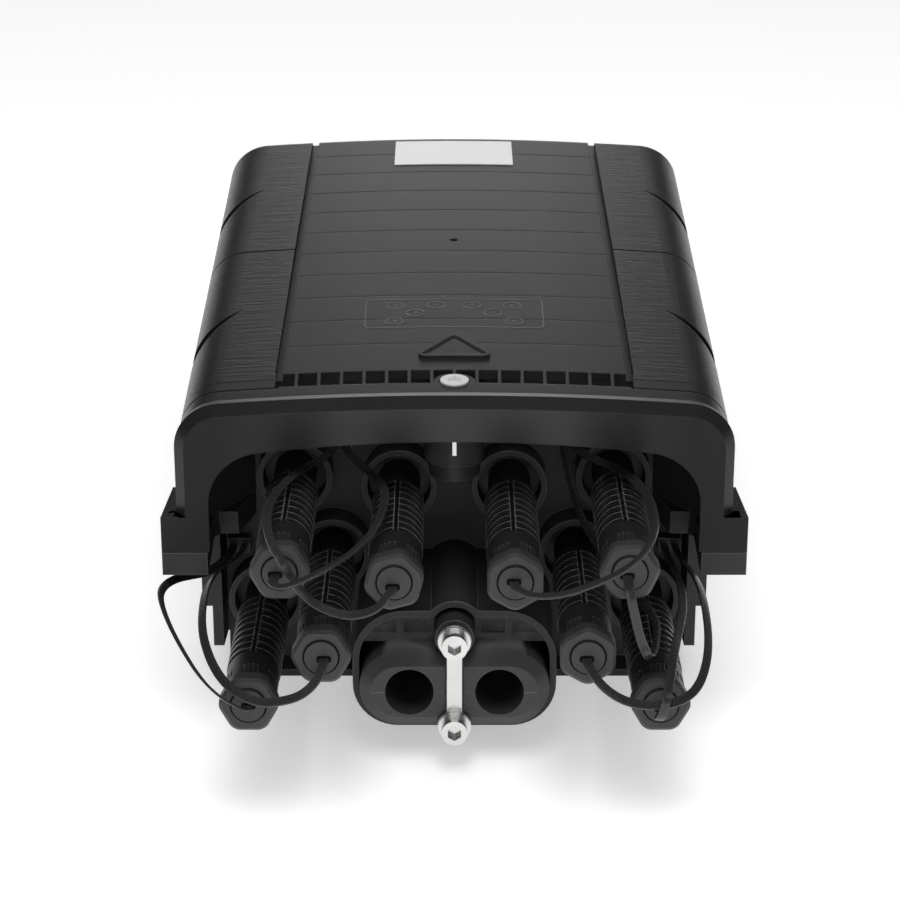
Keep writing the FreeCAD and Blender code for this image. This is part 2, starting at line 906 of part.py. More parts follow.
# Ports
def make_adapter():
    back = -plate_wall - adapter_thread_length
    profile = [
        (adapter_bore, back),
        (adapter_thread_radius, back),
        (adapter_thread_radius, seal_thickness),
        (adapter_flange_radius, seal_thickness),
        (adapter_flange_radius, seal_thickness + adapter_flange),
        (rib_root, seal_thickness + adapter_flange),
    ]
    for index in range(rib_count):
        start = rib_first + index * rib_pitch
        profile += [(rib_root, start), (rib_radius, start + rib_rise), (rib_radius, start + rib_rise + rib_land)]
    profile += [
        (rib_root, rib_first + rib_count * rib_pitch),
        (rib_root, adapter_end),
        (spigot_radius, adapter_end),
        (spigot_radius, adapter_end + spigot_length),
        (adapter_bore, adapter_end + spigot_length),
    ]
    slot_end = rib_first + rib_count * rib_pitch
    slot = box(-rib_slot_width / 2, rib_slot_width / 2, rib_root, far, rib_first - 1, slot_end)
    return turned(profile).cut(slot)


def make_cap():
    start = adapter_end + cap_gap
    head = start + cap_collar_length
    end = head + cap_head_height
    corner = cap_head_across / 2 / math.cos(math.pi / cap_sides)
    bore = spigot_radius + cap_bore_gap
    collar = turned([(0, start), (cap_collar_radius, start), (cap_collar_radius, head), (0, head)])
    octagon = regular_prism(cap_sides, cap_head_across, head, end)
    trim = turned([(0, head), (corner, head), (corner, end - cap_head_chamfer), (corner - 2 * cap_head_chamfer, end), (0, end)])
    cap = collar.fuse(octagon.common(trim))
    cap = cap.cut(Part.makeCylinder(bore, spigot_length + cap_gap, Vector(0, 0, start - 1 + cap_gap)))
    cap = cap.cut(Part.makeCylinder(disc_radius + seat_gap, far, Vector(0, 0, end - disc_recess)))
    return cap.removeSplitter()


def cap_front():
    return adapter_end + cap_gap + cap_collar_length + cap_head_height


def make_disc():
    return Part.makeCylinder(disc_radius, disc_thickness, Vector(0, 0, cap_front() - disc_recess + seat_gap))


def make_seal():
    inner = adapter_thread_radius + seal_inner_gap
    return turned([(inner, 0), (adapter_flange_radius, 0), (adapter_flange_radius, seal_thickness), (inner, seal_thickness)])


def make_nut():
    nut = regular_prism(6, nut_across, -plate_wall - nut_height, -plate_wall)
    return nut.cut(Part.makeCylinder(adapter_thread_radius + adapter_hole_gap, 60, Vector(0, 0, -30)))


def make_anchor():
    return box(-anchor_half_width, anchor_half_width, -anchor_half_height, anchor_half_height, 0, anchor_depth)


def plate_point(x, z, right, up, out):
    """Point at a distance right, up and out from a place on the port plate."""
    return Vector(x, plate_y + lean * z, z) + tilt_turn.multVec(Vector(right, up, out))


def tether_points(number):
    (right, up), way, (stud_x, stud_z), side = tether_routes[number]
    x, z = ports[number]
    disc_face = cap_front() - disc_recess + seat_gap + disc_thickness + tether_end_gap
    stud_face = anchor_depth + tether_end_gap
    shift = side * anchor_pitch / 2
    start = [plate_point(x, z, right, up, disc_face), plate_point(x, z, right, up, disc_face + disc_lead)]
    end = [
        plate_point(stud_x, stud_z, shift, 0, stud_face + anchor_lead),
        plate_point(stud_x, stud_z, shift, 0, stud_face),
    ]
    return start + [Vector(*point) for point in way] + end


def make_tether(number):
    """Round tube along straight runs joined by arcs as large as the runs allow."""
    points = tether_points(number)
    edges = []
    radii = []
    start = points[0]
    for before, here, after in zip(points, points[1:], points[2:]):
        back = before - here
        ahead = after - here
        half_angle = back.getAngle(ahead) / 2
        reach = 0.45 * min(back.Length, ahead.Length)
        radius = reach * math.tan(half_angle)
        back.normalize()
        ahead.normalize()
        inward = (back + ahead).normalize()
        first = here + back * reach
        last = here + ahead * reach
        middle = here + inward * (radius / math.sin(half_angle) - radius)
        edges.append(Part.LineSegment(start, first).toShape())
        edges.append(Part.Arc(first, middle, last).toShape())
        radii.append(round(radius, 1))
        start = last
    edges.append(Part.LineSegment(start, points[-1]).toShape())
    path = Part.Wire(edges)
    ring = Part.Wire(Part.makeCircle(tether_radius, points[0], points[1] - points[0]))
    tube = path.makePipe(Part.Face(ring))
    share = tube.Volume / (math.pi * tether_radius ** 2 * path.Length)
    print("tether", number, "length", round(path.Length, 1), "volume share", round(share, 4), "radii", radii)
    return tube


# Feeder gland
def housing_hollow(inset, z0, z1):
    low = -plug_half_height - seat_gap + inset
    wide = plug_half_width + seat_gap - inset
    top = housing_top - housing_wall - inset
    hollow = stadium(wide, low, top, plug_radius - inset, housing_top_corner - housing_wall - inset, z0, z1)
    bump = Part.makeCylinder(bump_radius - housing_wall - inset, z1 - z0, Vector(0, bolt_up, z0))
    return hollow.fuse(bump)


def plug_form():
    plug = stadium(
        plug_half_width, -plug_half_height, plug_half_height, plug_radius, plug_radius, plug_back, plug_front
    )
    front_edges = []
    for edge in plug.Edges:
        if edge.BoundBox.ZMin > plug_front - 0.01:
            front_edges.append(edge)
    plug = plug.makeChamfer(plug_chamfer, front_edges)
    for x in (-cable_x, cable_x):
        plug = plug.cut(Part.makeCylinder(cable_radius, far, Vector(x, 0, 0)))
    slot = bridge_half_width + bridge_slot_gap
    plug = plug.cut(box(-slot, slot, -far, far, plug_front - bridge_sink, far))
    seat = bridge_end_radius + bridge_slot_gap
    for y in (bolt_up, bolt_down):
        plug = plug.cut(Part.makeCylinder(seat, far, Vector(0, y, plug_front - bridge_sink)))
    return plug


def make_upper_plug():
    upper = plug_form().common(box(-far, far, 0, far, 0, far))
    front = housing_length - flange_setback
    flange = housing_hollow(seat_gap, front - plug_flange, front)
    flange = flange.common(box(-far, far, plug_half_height - 1, far, 0, far))
    panel_x = gland_boss_radius + 6.0
    panel_high = housing_top - housing_wall - 4.0
    for x in (panel_x - 3.0, panel_x + 9.0):
        panel = box(x, x + 9.0, plug_half_height + 2.0, panel_high, front - rib_recess, far)
        flange = flange.cut([panel, mirrored(panel)])
    upper = upper.fuse(flange)
    room = gland_boss_radius + seat_gap
    return upper.cut(Part.makeCylinder(room, far, Vector(0, bolt_up, 0))).removeSplitter()


def make_lower_plug():
    lower = plug_form().common(box(-far, far, -far, 0, 0, far))
    hole = clamp_bolt_radius + clamp_hole_gap
    depth = plug_front - clamp_bolt_length
    notch = Part.makeCylinder(hole, far, Vector(0, bolt_down, depth))
    notch = notch.fuse(box(-hole, hole, -far, bolt_down, depth, far))
    return lower.cut(notch)


def make_bridge():
    back = plug_front - bridge_sink
    bar = box(-bridge_half_width, bridge_half_width, bolt_down, bolt_up, back, back + bridge_thickness)
    for y in (bolt_up, bolt_down):
        bar = bar.fuse(Part.makeCylinder(bridge_end_radius, bridge_thickness, Vector(0, y, back)))
    for y in (bolt_up, bolt_down):
        bar = bar.cut(Part.makeCylinder(clamp_bolt_radius + clamp_hole_gap, far, Vector(0, y, 0)))
    return bar.removeSplitter()


def make_clamp_bolt(y):
    washer = plug_front - bridge_sink + bridge_thickness
    seat = washer + clamp_washer_thickness
    head = Part.makeCylinder(clamp_head_radius, clamp_head_height, Vector(0, y, seat))
    socket = regular_prism(6, clamp_socket_across, seat + clamp_head_height - clamp_socket_depth, far)
    socket.translate(Vector(0, y, 0))
    shank = Part.makeCylinder(clamp_bolt_radius, clamp_bolt_length, Vector(0, y, seat - clamp_bolt_length))
    return head.cut(socket).fuse(shank).removeSplitter()


def make_clamp_washer(y):
    back = plug_front - bridge_sink + bridge_thickness
    ring = Part.makeCylinder(clamp_washer_radius, clamp_washer_thickness, Vector(0, y, back))
    return ring.cut(Part.makeCylinder(clamp_bolt_radius + clamp_hole_gap, far, Vector(0, y, 0)))


# Inside
def cable_line(y):
    """Height of the feeder cables' axis at y, straight on from the gland."""
    return gland_z - (y - plate_y - lean * gland_z) * lean


saddle_y = plate_y + lean * gland_z + plate_wall + saddle_from_plate
saddle_z = cable_line(saddle_y + saddle_length / 2)


def cable_grooves():
    bars = []
    for x in (-cable_x, cable_x):
        bars.append(Part.makeCylinder(cable_radius, 4 * saddle_length, Vector(x, saddle_y - saddle_length, saddle_z), Vector(0, 1, 0)))
    return bars


def make_saddle():
    y1 = saddle_y + saddle_length
    block = box(-saddle_half_width, saddle_half_width, saddle_y, y1, base_wall - 1, saddle_z)
    block = block.cut(cable_grooves())
    hole = post(strap_screw_radius, strap_screw_x, saddle_y + saddle_length / 2, base_wall, far)
    return block.cut(hole)


def make_feeder_clamp():
    y1 = saddle_y + saddle_length
    top = saddle_z + cable_radius + strap_height
    bar = box(-saddle_half_width, saddle_half_width, saddle_y, y1, saddle_z, top)
    bar = bar.cut(cable_grooves())
    return bar.cut(post(strap_screw_radius, strap_screw_x, saddle_y + saddle_length / 2, 0, far))


def make_feeder_screw():
    top = saddle_z + cable_radius + strap_height
    y = saddle_y + saddle_length / 2
    head = post(2 * strap_screw_radius, strap_screw_x, y, top, top + strap_screw_radius)
    shank = post(strap_screw_radius - clamp_hole_gap, strap_screw_x, y, base_wall, top)
    return head.fuse(shank).removeSplitter()


frame_z = fix_depth + base_wall


def make_frame():
    top = frame_z + frame_sheet
    sheet = box(-frame_half_width, frame_half_width, fix_front_y - 2 * fix_boss_radius + 8, frame_rear, frame_z, top)
    lip = box(frame_half_width - frame_sheet, frame_half_width, frame_front, frame_rear, top, top + frame_lip)
    frame = sheet.fuse([lip, mirrored(lip)])
    pillars = []
    for x in (-fix_x, fix_x):
        for y in (frame_front + 14.0, frame_rear - 14.0):
            pillars.append(post(pillar_radius, x, y, top, top + pillar_height))
    return frame.fuse(pillars).removeSplitter()


tray_z = frame_z + frame_sheet + pillar_height


def make_tray(z):
    tray = stadium(tray_half_width, frame_front, frame_rear, tray_corner, tray_corner, z, z + tray_height)
    room = stadium(
        tray_half_width - tray_wall,
        frame_front + tray_wall,
        frame_rear - tray_wall,
        tray_corner - tray_wall,
        tray_corner - tray_wall,
        z + tray_wall,
        z + tray_height + 1,
    )
    tray = tray.cut(room)
    middle = (frame_front + frame_rear) / 2
    for y in (middle - coil_gap, middle + coil_gap):
        core = post(coil_core_radius, 0, y, z + tray_wall - 0.5, z + tray_height)
        tray = tray.fuse(core.cut(post(coil_core_radius - tray_wall, 0, y, z + tray_wall, z + tray_height + 1)))
    return tray.removeSplitter()


def make_splitter():
    middle = (frame_front + frame_rear) / 2
    z0 = frame_z + frame_sheet
    corners = [
        (-splitter_half_width, middle - splitter_length / 2, 2),
        (splitter_half_width, middle - splitter_length / 2, 2),
        (splitter_half_width, middle + splitter_length / 2, 2),
        (-splitter_half_width, middle + splitter_length / 2, 2),
    ]
    return rounded_prism(corners, z0, z0 + splitter_height)


def make_hinge_pin(x):
    half = knuckle_length / 2 + lug_gap + lug_length
    return cross_bar(hinge_pin_radius, x - half, x + half, hinge_y, split_height)


save("base_shell", make_base())
save("cover_shell", make_cover())
save("label_plate", make_label())
save("cover_bolt", make_cover_bolt())
save("bolt_circlip", make_circlip())
save("bolt_insert", make_insert())
save("cover_gasket", make_gasket())
save("hinge_pins", group([make_hinge_pin(-hinge_x), make_hinge_pin(hinge_x)]))

adapter = make_adapter()
cap = make_cap()
for number, (x, z) in ports.items():
    save("port_adapter_" + str(number), on_plate(adapter, x, z))
    save("dust_cap_" + str(number), on_plate(cap, x, z))
save("tether_discs", group([on_plate(make_disc(), x, z) for x, z in ports.values()]))
studs = [
    (-upper_anchor_x, upper_anchor_z),
    (upper_anchor_x, upper_anchor_z),
    (-lower_anchor_x, lower_anchor_z),
    (lower_anchor_x, lower_anchor_z),
]
save("tether_anchors", group([on_plate(make_anchor(), x, z) for x, z in studs]))
for number in ports:
    save("tether_" + str(number), make_tether(number))
save("adapter_seals", group([on_plate(make_seal(), x, z) for x, z in ports.values()]))
save("adapter_nuts", group([on_plate(make_nut(), x, z) for x, z in ports.values()]))

save("gland_upper_half", on_plate(make_upper_plug(), 0, gland_z))
save("gland_lower_half", on_plate(make_lower_plug(), 0, gland_z))
save("clamp_bridge", on_plate(make_bridge(), 0, gland_z))
save("clamp_bolts", group([on_plate(make_clamp_bolt(y), 0, gland_z) for y in (bolt_up, bolt_down)]))
save("clamp_washers", group([on_plate(make_clamp_washer(y), 0, gland_z) for y in (bolt_up, bolt_down)]))

save("tray_frame", make_frame())
save("splice_tray_lower", make_tray(tray_z))
save("splice_tray_upper", make_tray(tray_z + tray_height))
save("splitter_module", make_splitter())
save("feeder_clamp", make_feeder_clamp())
save("feeder_clamp_screw", make_feeder_screw())
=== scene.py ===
import json
import math

import bmesh
import bpy
from mathutils import Matrix, Vector
from mathutils.bvhtree import BVHTree


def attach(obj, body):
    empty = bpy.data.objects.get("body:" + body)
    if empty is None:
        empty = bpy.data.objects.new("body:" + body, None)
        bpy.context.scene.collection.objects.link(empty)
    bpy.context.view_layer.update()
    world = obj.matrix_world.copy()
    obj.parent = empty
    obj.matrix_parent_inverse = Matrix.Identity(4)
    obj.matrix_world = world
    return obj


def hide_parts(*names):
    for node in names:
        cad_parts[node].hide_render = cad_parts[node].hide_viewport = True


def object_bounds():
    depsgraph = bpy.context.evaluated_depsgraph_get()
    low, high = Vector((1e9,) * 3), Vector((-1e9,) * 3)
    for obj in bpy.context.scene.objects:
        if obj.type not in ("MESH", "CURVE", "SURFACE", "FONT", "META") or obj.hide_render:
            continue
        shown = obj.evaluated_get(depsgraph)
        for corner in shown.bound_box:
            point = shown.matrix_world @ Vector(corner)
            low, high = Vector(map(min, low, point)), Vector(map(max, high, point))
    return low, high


mm = 0.001

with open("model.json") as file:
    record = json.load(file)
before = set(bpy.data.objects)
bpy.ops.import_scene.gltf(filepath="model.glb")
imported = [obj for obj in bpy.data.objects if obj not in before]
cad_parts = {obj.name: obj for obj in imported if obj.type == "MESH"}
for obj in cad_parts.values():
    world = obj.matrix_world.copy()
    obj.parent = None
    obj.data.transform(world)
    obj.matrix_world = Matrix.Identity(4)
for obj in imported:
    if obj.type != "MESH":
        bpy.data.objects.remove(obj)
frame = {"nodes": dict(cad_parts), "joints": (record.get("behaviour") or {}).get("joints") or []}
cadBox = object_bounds()
nodes = frame["nodes"]
jointOf = {joint["child"]: joint for joint in frame["joints"]}


# Node trees, written as plain expressions
class Wire:
    def __init__(self, maker, socket):
        self.maker = maker
        self.socket = socket

    def math(self, operation, first, second=0.0, clamp=False):
        kind = self.maker.mathKind
        settings = {"operation": operation, "use_clamp": clamp}
        return self.maker.node(kind, settings, {0: first, 1: second})

    def __add__(self, other):
        return self.math("ADD", self, other)

    def __radd__(self, other):
        return self.math("ADD", other, self)

    def __sub__(self, other):
        return self.math("SUBTRACT", self, other)

    def __rsub__(self, other):
        return self.math("SUBTRACT", other, self)

    def __mul__(self, other):
        return self.math("MULTIPLY", self, other)

    def __truediv__(self, other):
        return self.math("DIVIDE", self, other)

    def __pow__(self, other):
        return self.math("POWER", self, other)

    def __abs__(self):
        return self.math("ABSOLUTE", self)

    def clamped(self):
        return self.math("ADD", self, 0.0, True)


class Maker:
    mathKind = "ShaderNodeMath"

    def node(self, kind, settings=None, sockets=None, outlet=0):
        made = self.tree.nodes.new(kind)
        for key, value in (settings or {}).items():
            setattr(made, key, value)
        for key, value in (sockets or {}).items():
            if isinstance(value, Wire):
                self.tree.links.new(value.socket, made.inputs[key])
            else:
                made.inputs[key].default_value = value
        return Wire(self, made.outputs[outlet]) if made.outputs else made


class Finish(Maker):
    edgeSamples = 4

    def __init__(self, name):
        self.material = bpy.data.materials.new(name)
        self.material.use_nodes = True
        self.tree = self.material.node_tree
        self.tree.nodes.clear()
        self.place = self.node("ShaderNodeTexCoord", outlet="Object")

    def noise(self, scale, detail, stretch=None):
        place = self.place
        if stretch:
            place = self.node("ShaderNodeMapping", {}, {"Vector": place, "Scale": stretch})
        sockets = {"Vector": place, "Scale": scale, "Detail": detail}
        return self.node("ShaderNodeTexNoise", {}, sockets, "Fac")

    def axis(self, name):
        return self.node("ShaderNodeSeparateXYZ", {}, {0: self.place}, name)

    def dot(self, first, second):
        settings = {"operation": "DOT_PRODUCT"}
        return self.node("ShaderNodeVectorMath", settings, {0: first, 1: second}, "Value")

    def blend(self, share, first, second):
        sockets = {"Factor": share, 6: first, 7: second}
        return self.node("ShaderNodeMix", {"data_type": "RGBA"}, sockets, 2)

    def rounded(self, radius):
        return self.node("ShaderNodeBevel", {"samples": self.edgeSamples}, {"Radius": radius})

    # Mask of the rounded edges, used for the painted edge highlights and for smoother edges
    def edges(self, rounded, gain):
        flat = self.node("ShaderNodeNewGeometry", outlet="True Normal")
        return ((1 - self.dot(rounded, flat)) * gain).clamped()

    def reach(self, start, axis):
        away = self.node("ShaderNodeVectorMath", {"operation": "SUBTRACT"}, {0: self.place, 1: start})
        return self.dot(away, axis)

    def bump(self, height, strength, distance, normal):
        sockets = {"Strength": strength, "Distance": distance, "Height": height, "Normal": normal}
        return self.node("ShaderNodeBump", {}, sockets)

    def surface(self, sockets):
        shader = self.node("ShaderNodeBsdfPrincipled", {}, sockets)
        self.node("ShaderNodeOutputMaterial", {}, {"Surface": shader})
        return self.material


def rgb(red, green, blue):
    return (red, green, blue, 1.0)


def linked(name, data):
    made = bpy.data.objects.new(name, data)
    bpy.context.scene.collection.objects.link(made)
    return made


# Camera, fitted to the photograph
shot = {"place": (-0.0017, -1.1792, 0.5695), "pitch": 66.0, "lens": 116.96, "sensor": 36.0}

eye = linked("camera", bpy.data.cameras.new("camera"))
eye.location = shot["place"]
eye.rotation_euler = (math.radians(shot["pitch"]), 0.0, 0.0)
eye.data.lens = shot["lens"]
eye.data.sensor_width = shot["sensor"]
bpy.context.scene.camera = eye
bpy.context.scene.view_settings.view_transform = "Standard"
print("camera set")


# Places on the leaning port plate, from the caps' own axes
capReach = 100.0 * mm
outward = Vector(jointOf["cap_1"]["axis"])
upward = Vector((0.0, outward.z, -outward.y))
plateFoot = Vector(jointOf["cap_1"]["pos_m"]) - outward * capReach
lean = upward.y / upward.z


def onPlate(x, z, right, up, out):
    y = plateFoot.y + lean * (z - plateFoot.z)
    return Vector((x + right, y, z)) + upward * up + outward * out


def portPlace(number):
    spot = Vector(jointOf["cap_%d" % number]["pos_m"]) - outward * capReach
    return spot.x, spot.z


# Finishes of the black mouldings, with painted highlights along their edges and painted light on the caps'
# heads
def blackMoulding(name, look):
    made = Finish(name)
    cloud = made.noise(look["cloudScale"], look["cloudDetail"])
    grain = made.noise(look["grainScale"], look["grainDetail"])
    rounded = made.rounded(look["edgeRadius"])
    edge = made.edges(rounded, look["edgeGain"])
    body = made.blend(cloud, look["dark"], look["light"])
    # Painted light: a cap's head, beyond headFrom, takes a lighter copy of the cap's colour, so it reads as
    # lit beside its collar
    if look.get("headFrom"):
        head = ((made.reach(plateFoot, outward) - look["headFrom"]) / look["headRun"]).clamped()
        body = made.blend(head, body, made.blend(cloud, look["litHeadDark"], look["litHeadLight"]))
    # Painted highlight: edges blended towards the look's light edge colour
    colour = made.blend(edge * look["edgeHighlightShare"], body, look["edge"])
    rough = look["rough"] + (grain - 0.5) * look["roughSpread"] - edge * look["edgePolish"]
    height = grain * look["grainHeight"]
    specular = look["specular"]
    if look.get("streaks"):
        aside = abs(made.axis("X"))
        side = ((aside - look["streaksFrom"]) / look["streaksRun"]).clamped()
        side = side * ((made.axis("Y") - look["streaksBehind"]) / look["streaksRun"]).clamped()
        outer = ((aside - look["dullFrom"]) / look["dullRun"]).clamped()
        streak = made.noise(look["streaks"], look["grainDetail"], look["streakStretch"])
        height = height + streak * side * look["streakHeight"]
        rough = rough + (streak - 0.5) * side * look["streakRough"]
        specular = specular - outer * look["sideDull"]
    normal = made.bump(height, look["bumpStrength"], look["bump"], rounded)
    return made.surface({
        "Base Color": colour,
        "Roughness": rough.clamped(),
        "Normal": normal,
        "Specular IOR Level": specular,
    })


caseLook = {
    "dark": rgb(0.010, 0.010, 0.011),
    "light": rgb(0.016, 0.016, 0.017),
    # Edge colour: a painted highlight along the rounded edges
    "edge": rgb(0.10, 0.10, 0.104),
    "edgeRadius": 0.6 * mm,
    "edgeGain": 4.0,
    "edgeHighlightShare": 0.5,
    "edgePolish": 0.06,
    "cloudScale": 18.0,
    "cloudDetail": 4.0,
    "grainScale": 1500.0,
    "grainDetail": 2.0,
    "grainHeight": 0.5,
    "rough": 0.31,
    "roughSpread": 0.14,
    "bump": 0.06 * mm,
    "bumpStrength": 1.0,
    "specular": 0.5,
    "streaks": 60.0,
    "streaksFrom": 68.5 * mm,
    "streaksBehind": -137.0 * mm,
    "streaksRun": 1.25 * mm,
    "streakStretch": (0.4, 12.0, 12.0),
    "streakHeight": 2.2,
    "streakRough": 0.10,
    "dullFrom": 40.0 * mm,
    "dullRun": 50.0 * mm,
    "sideDull": 0.32,
}
plainLook = dict(caseLook, streaks=0.0)
# Base: lighter painted highlights along its edges
plateLook = dict(
    plainLook, dark=rgb(0.022, 0.022, 0.023), light=rgb(0.030, 0.030, 0.031), rough=0.52, specular=0.36,
    edge=rgb(0.24, 0.24, 0.245), edgeHighlightShare=0.8,
)
# Ports: near-black, with bright painted highlights along the rims of their rings
portLook = dict(
    plainLook, dark=rgb(0.003, 0.003, 0.003), light=rgb(0.006, 0.006, 0.006),
    edge=rgb(0.42, 0.42, 0.43), edgeRadius=0.30 * mm, edgeGain=6.0, edgeHighlightShare=0.9, rough=0.38, specular=0.3,
)
# Caps: painted light on the heads beyond the collars, and painted highlights along their edges
capLook = dict(
    plainLook, dark=rgb(0.010, 0.010, 0.010), light=rgb(0.015, 0.015, 0.015), headFrom=118.4 * mm,
    headRun=0.25 * mm, litHeadDark=rgb(0.028, 0.028, 0.029), litHeadLight=rgb(0.036, 0.036, 0.037),
    edge=rgb(0.13, 0.13, 0.135), edgeRadius=0.5 * mm, rough=0.48,
)
# Near-black: painted shade for the gaps in the caps' heads
gapShadeLook = dict(
    plainLook, dark=rgb(0.002, 0.002, 0.002), light=rgb(0.004, 0.004, 0.004), edgeHighlightShare=0.0,
    rough=0.7, specular=0.1,
)
# Straps: painted highlights along their edges
strapLook = dict(
    plainLook, dark=rgb(0.014, 0.014, 0.015), light=rgb(0.026, 0.026, 0.027),
    edge=rgb(0.24, 0.24, 0.245), edgeRadius=0.25 * mm, rough=0.28, grainScale=900.0, bump=0.02 * mm,
)
# Gland: painted highlights along its edges
glandLook = dict(
    plainLook, dark=rgb(0.042, 0.042, 0.043), light=rgb(0.054, 0.054, 0.055),
    edge=rgb(0.26, 0.26, 0.265), rough=0.50, grainScale=1100.0, specular=0.4,
)
legendLook = dict(
    plainLook, dark=rgb(0.13, 0.13, 0.132), light=rgb(0.17, 0.17, 0.172), edgeHighlightShare=0.0,
)
# Seals keep the case's painted edge highlights
sealLook = dict(plainLook, dark=rgb(0.05, 0.05, 0.052), light=rgb(0.07, 0.07, 0.072), rough=0.6)


# Finishes of metal, label and inner parts
def metal(name, look):
    made = Finish(name)
    brushed = made.noise(look["brushScale"], look["detail"], look["brushStretch"])
    cloud = made.noise(look["cloudScale"], look["detail"])
    rounded = made.rounded(look["edgeRadius"])
    colour = made.blend(cloud, look["dark"], look["light"])
    rough = look["rough"] + (brushed - 0.5) * look["roughSpread"]
    normal = made.bump(brushed, look["bumpStrength"], look["bump"], rounded)
    return made.surface({
        "Base Color": colour,
        "Roughness": rough.clamped(),
        "Normal": normal,
        "Metallic": look["metallic"],
    })


zincLook = {
    "dark": rgb(0.54, 0.54, 0.53),
    "light": rgb(0.70, 0.70, 0.69),
    "brushScale": 300.0,
    "brushStretch": (1.0, 1.0, 6.0),
    "cloudScale": 90.0,
    "detail": 3.0,
    "edgeRadius": 0.35 * mm,
    "rough": 0.20,
    "roughSpread": 0.14,
    "bump": 0.03 * mm,
    "bumpStrength": 0.4,
    "metallic": 1.0,
}
boltLook = dict(
    zincLook, dark=rgb(0.72, 0.72, 0.71), light=rgb(0.84, 0.84, 0.83), rough=0.30, metallic=0.3,
)
brassLook = dict(zincLook, dark=rgb(0.60, 0.44, 0.19), light=rgb(0.76, 0.59, 0.29), rough=0.28)
sheetLook = dict(zincLook, dark=rgb(0.58, 0.59, 0.60), light=rgb(0.70, 0.71, 0.72), rough=0.36)


def paleMoulding(name, look):
    made = Finish(name)
    cloud = made.noise(look["cloudScale"], look["cloudDetail"])
    grain = made.noise(look["grainScale"], look["grainDetail"])
    rounded = made.rounded(look["edgeRadius"])
    colour = made.blend(cloud, look["dark"], look["light"])
    rough = look["rough"] + (grain - 0.5) * look["roughSpread"]
    normal = made.bump(grain, look["bumpStrength"], look["bump"], rounded)
    return made.surface({"Base Color": colour, "Roughness": rough.clamped(), "Normal": normal})


labelLook = {
    "dark": rgb(0.80, 0.81, 0.82),
    "light": rgb(0.88, 0.88, 0.89),
    "cloudScale": 40.0,
    "cloudDetail": 4.0,
    "grainScale": 700.0,
    "grainDetail": 2.0,
    "edgeRadius": 0.1 * mm,
    "rough": 0.42,
    "roughSpread": 0.12,
    "bump": 0.02 * mm,
    "bumpStrength": 0.5,
}
trayLook = dict(
    labelLook, dark=rgb(0.50, 0.51, 0.51), light=rgb(0.58, 0.59, 0.59), edgeRadius=0.4 * mm, rough=0.5,
)
splitterLook = dict(
    labelLook, dark=rgb(0.10, 0.10, 0.11), light=rgb(0.14, 0.14, 0.15), edgeRadius=0.5 * mm, rough=0.45,
)

caseFinish = blackMoulding("caseMoulding", caseLook)
plateFinish = blackMoulding("baseMoulding", plateLook)
portFinish = blackMoulding("portMoulding", portLook)
capFinish = blackMoulding("capMoulding", capLook)
strapFinish = blackMoulding("strapMoulding", strapLook)
glandFinish = blackMoulding("glandRubber", glandLook)
sealFinish = blackMoulding("sealRubber", sealLook)
zincFinish = metal("brightZinc", zincLook)
boltFinish = metal("whiteZinc", boltLook)
brassFinish = metal("turnedBrass", brassLook)
sheetFinish = metal("plainSheet", sheetLook)
labelFinish = paleMoulding("labelFilm", labelLook)
trayFinish = paleMoulding("trayMoulding", trayLook)
splitterFinish = paleMoulding("splitterCase", splitterLook)
legendFinish = blackMoulding("legendInk", legendLook)
gapShadeFinish = blackMoulding("gapShade", gapShadeLook)

finishOf = {
    "cover_shell": caseFinish,
    "base_shell": plateFinish,
    "label_plate": labelFinish,
    "tray_frame": sheetFinish,
    "splitter_module": splitterFinish,
    "cover_bolt": boltFinish,
    "bolt_insert": brassFinish,
}
for finish, names in (
    (zincFinish, ["bolt_circlip", "hinge_pins", "feeder_clamp_screw"]),
    (zincFinish, ["clamp_bridge", "clamp_bolts", "clamp_washers"]),
    (sealFinish, ["cover_gasket", "adapter_seals"]),
    (glandFinish, ["gland_upper_half", "gland_lower_half"]),
    (trayFinish, ["splice_tray_lower", "splice_tray_upper", "feeder_clamp"]),
    (portFinish, ["tether_anchors", "adapter_nuts"]),
    (capFinish, ["tether_discs"]),
):
    finishOf.update((name, finish) for name in names)
portNumbers = range(1, 9)
for number in portNumbers:
    finishOf["port_adapter_%d" % number] = portFinish
    finishOf["dust_cap_%d" % number] = capFinish
for name, finish in finishOf.items():
    slots = nodes[name].data.materials
    slots.clear()
    slots.append(finish)
print("finishes:", len(bpy.data.materials))


def addPiece(name, mesh, body):
    piece = linked(name, mesh)
    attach(piece, body)
    return piece


# Meshes built in rows, and copies of solids that are reshaped after the photograph
weld = 0.001 * mm
sharpFrom = 24.0


def meshOf(name):
    made = bmesh.new()
    made.from_mesh(nodes[name].data)
    bmesh.ops.remove_doubles(made, verts=made.verts, dist=weld)
    return made


def closeMesh(name, mesh, finish):
    bmesh.ops.recalc_face_normals(mesh, faces=mesh.faces)
    made = bpy.data.meshes.new(name)
    mesh.to_mesh(made)
    mesh.free()
    made.materials.clear()
    made.materials.append(finish)
    return made


def smoothed(mesh, angle=sharpFrom):
    mesh.shade_smooth()
    mesh.set_sharp_from_angle(angle=math.radians(angle))
    return mesh


def meshFrom(holder):
    graph = bpy.context.evaluated_depsgraph_get()
    return bpy.data.meshes.new_from_object(holder.evaluated_get(graph), depsgraph=graph)


def cutBy(mesh, cutter, solver):
    holders = [linked("holder", data) for data in (mesh, cutter)]
    modifier = holders[0].modifiers.new("cut", "BOOLEAN")
    modifier.operation = "DIFFERENCE"
    modifier.solver = solver
    modifier.object = holders[1]
    bpy.context.view_layer.update()
    made = meshFrom(holders[0])
    for holder in holders:
        bpy.data.objects.remove(holder)
    return made


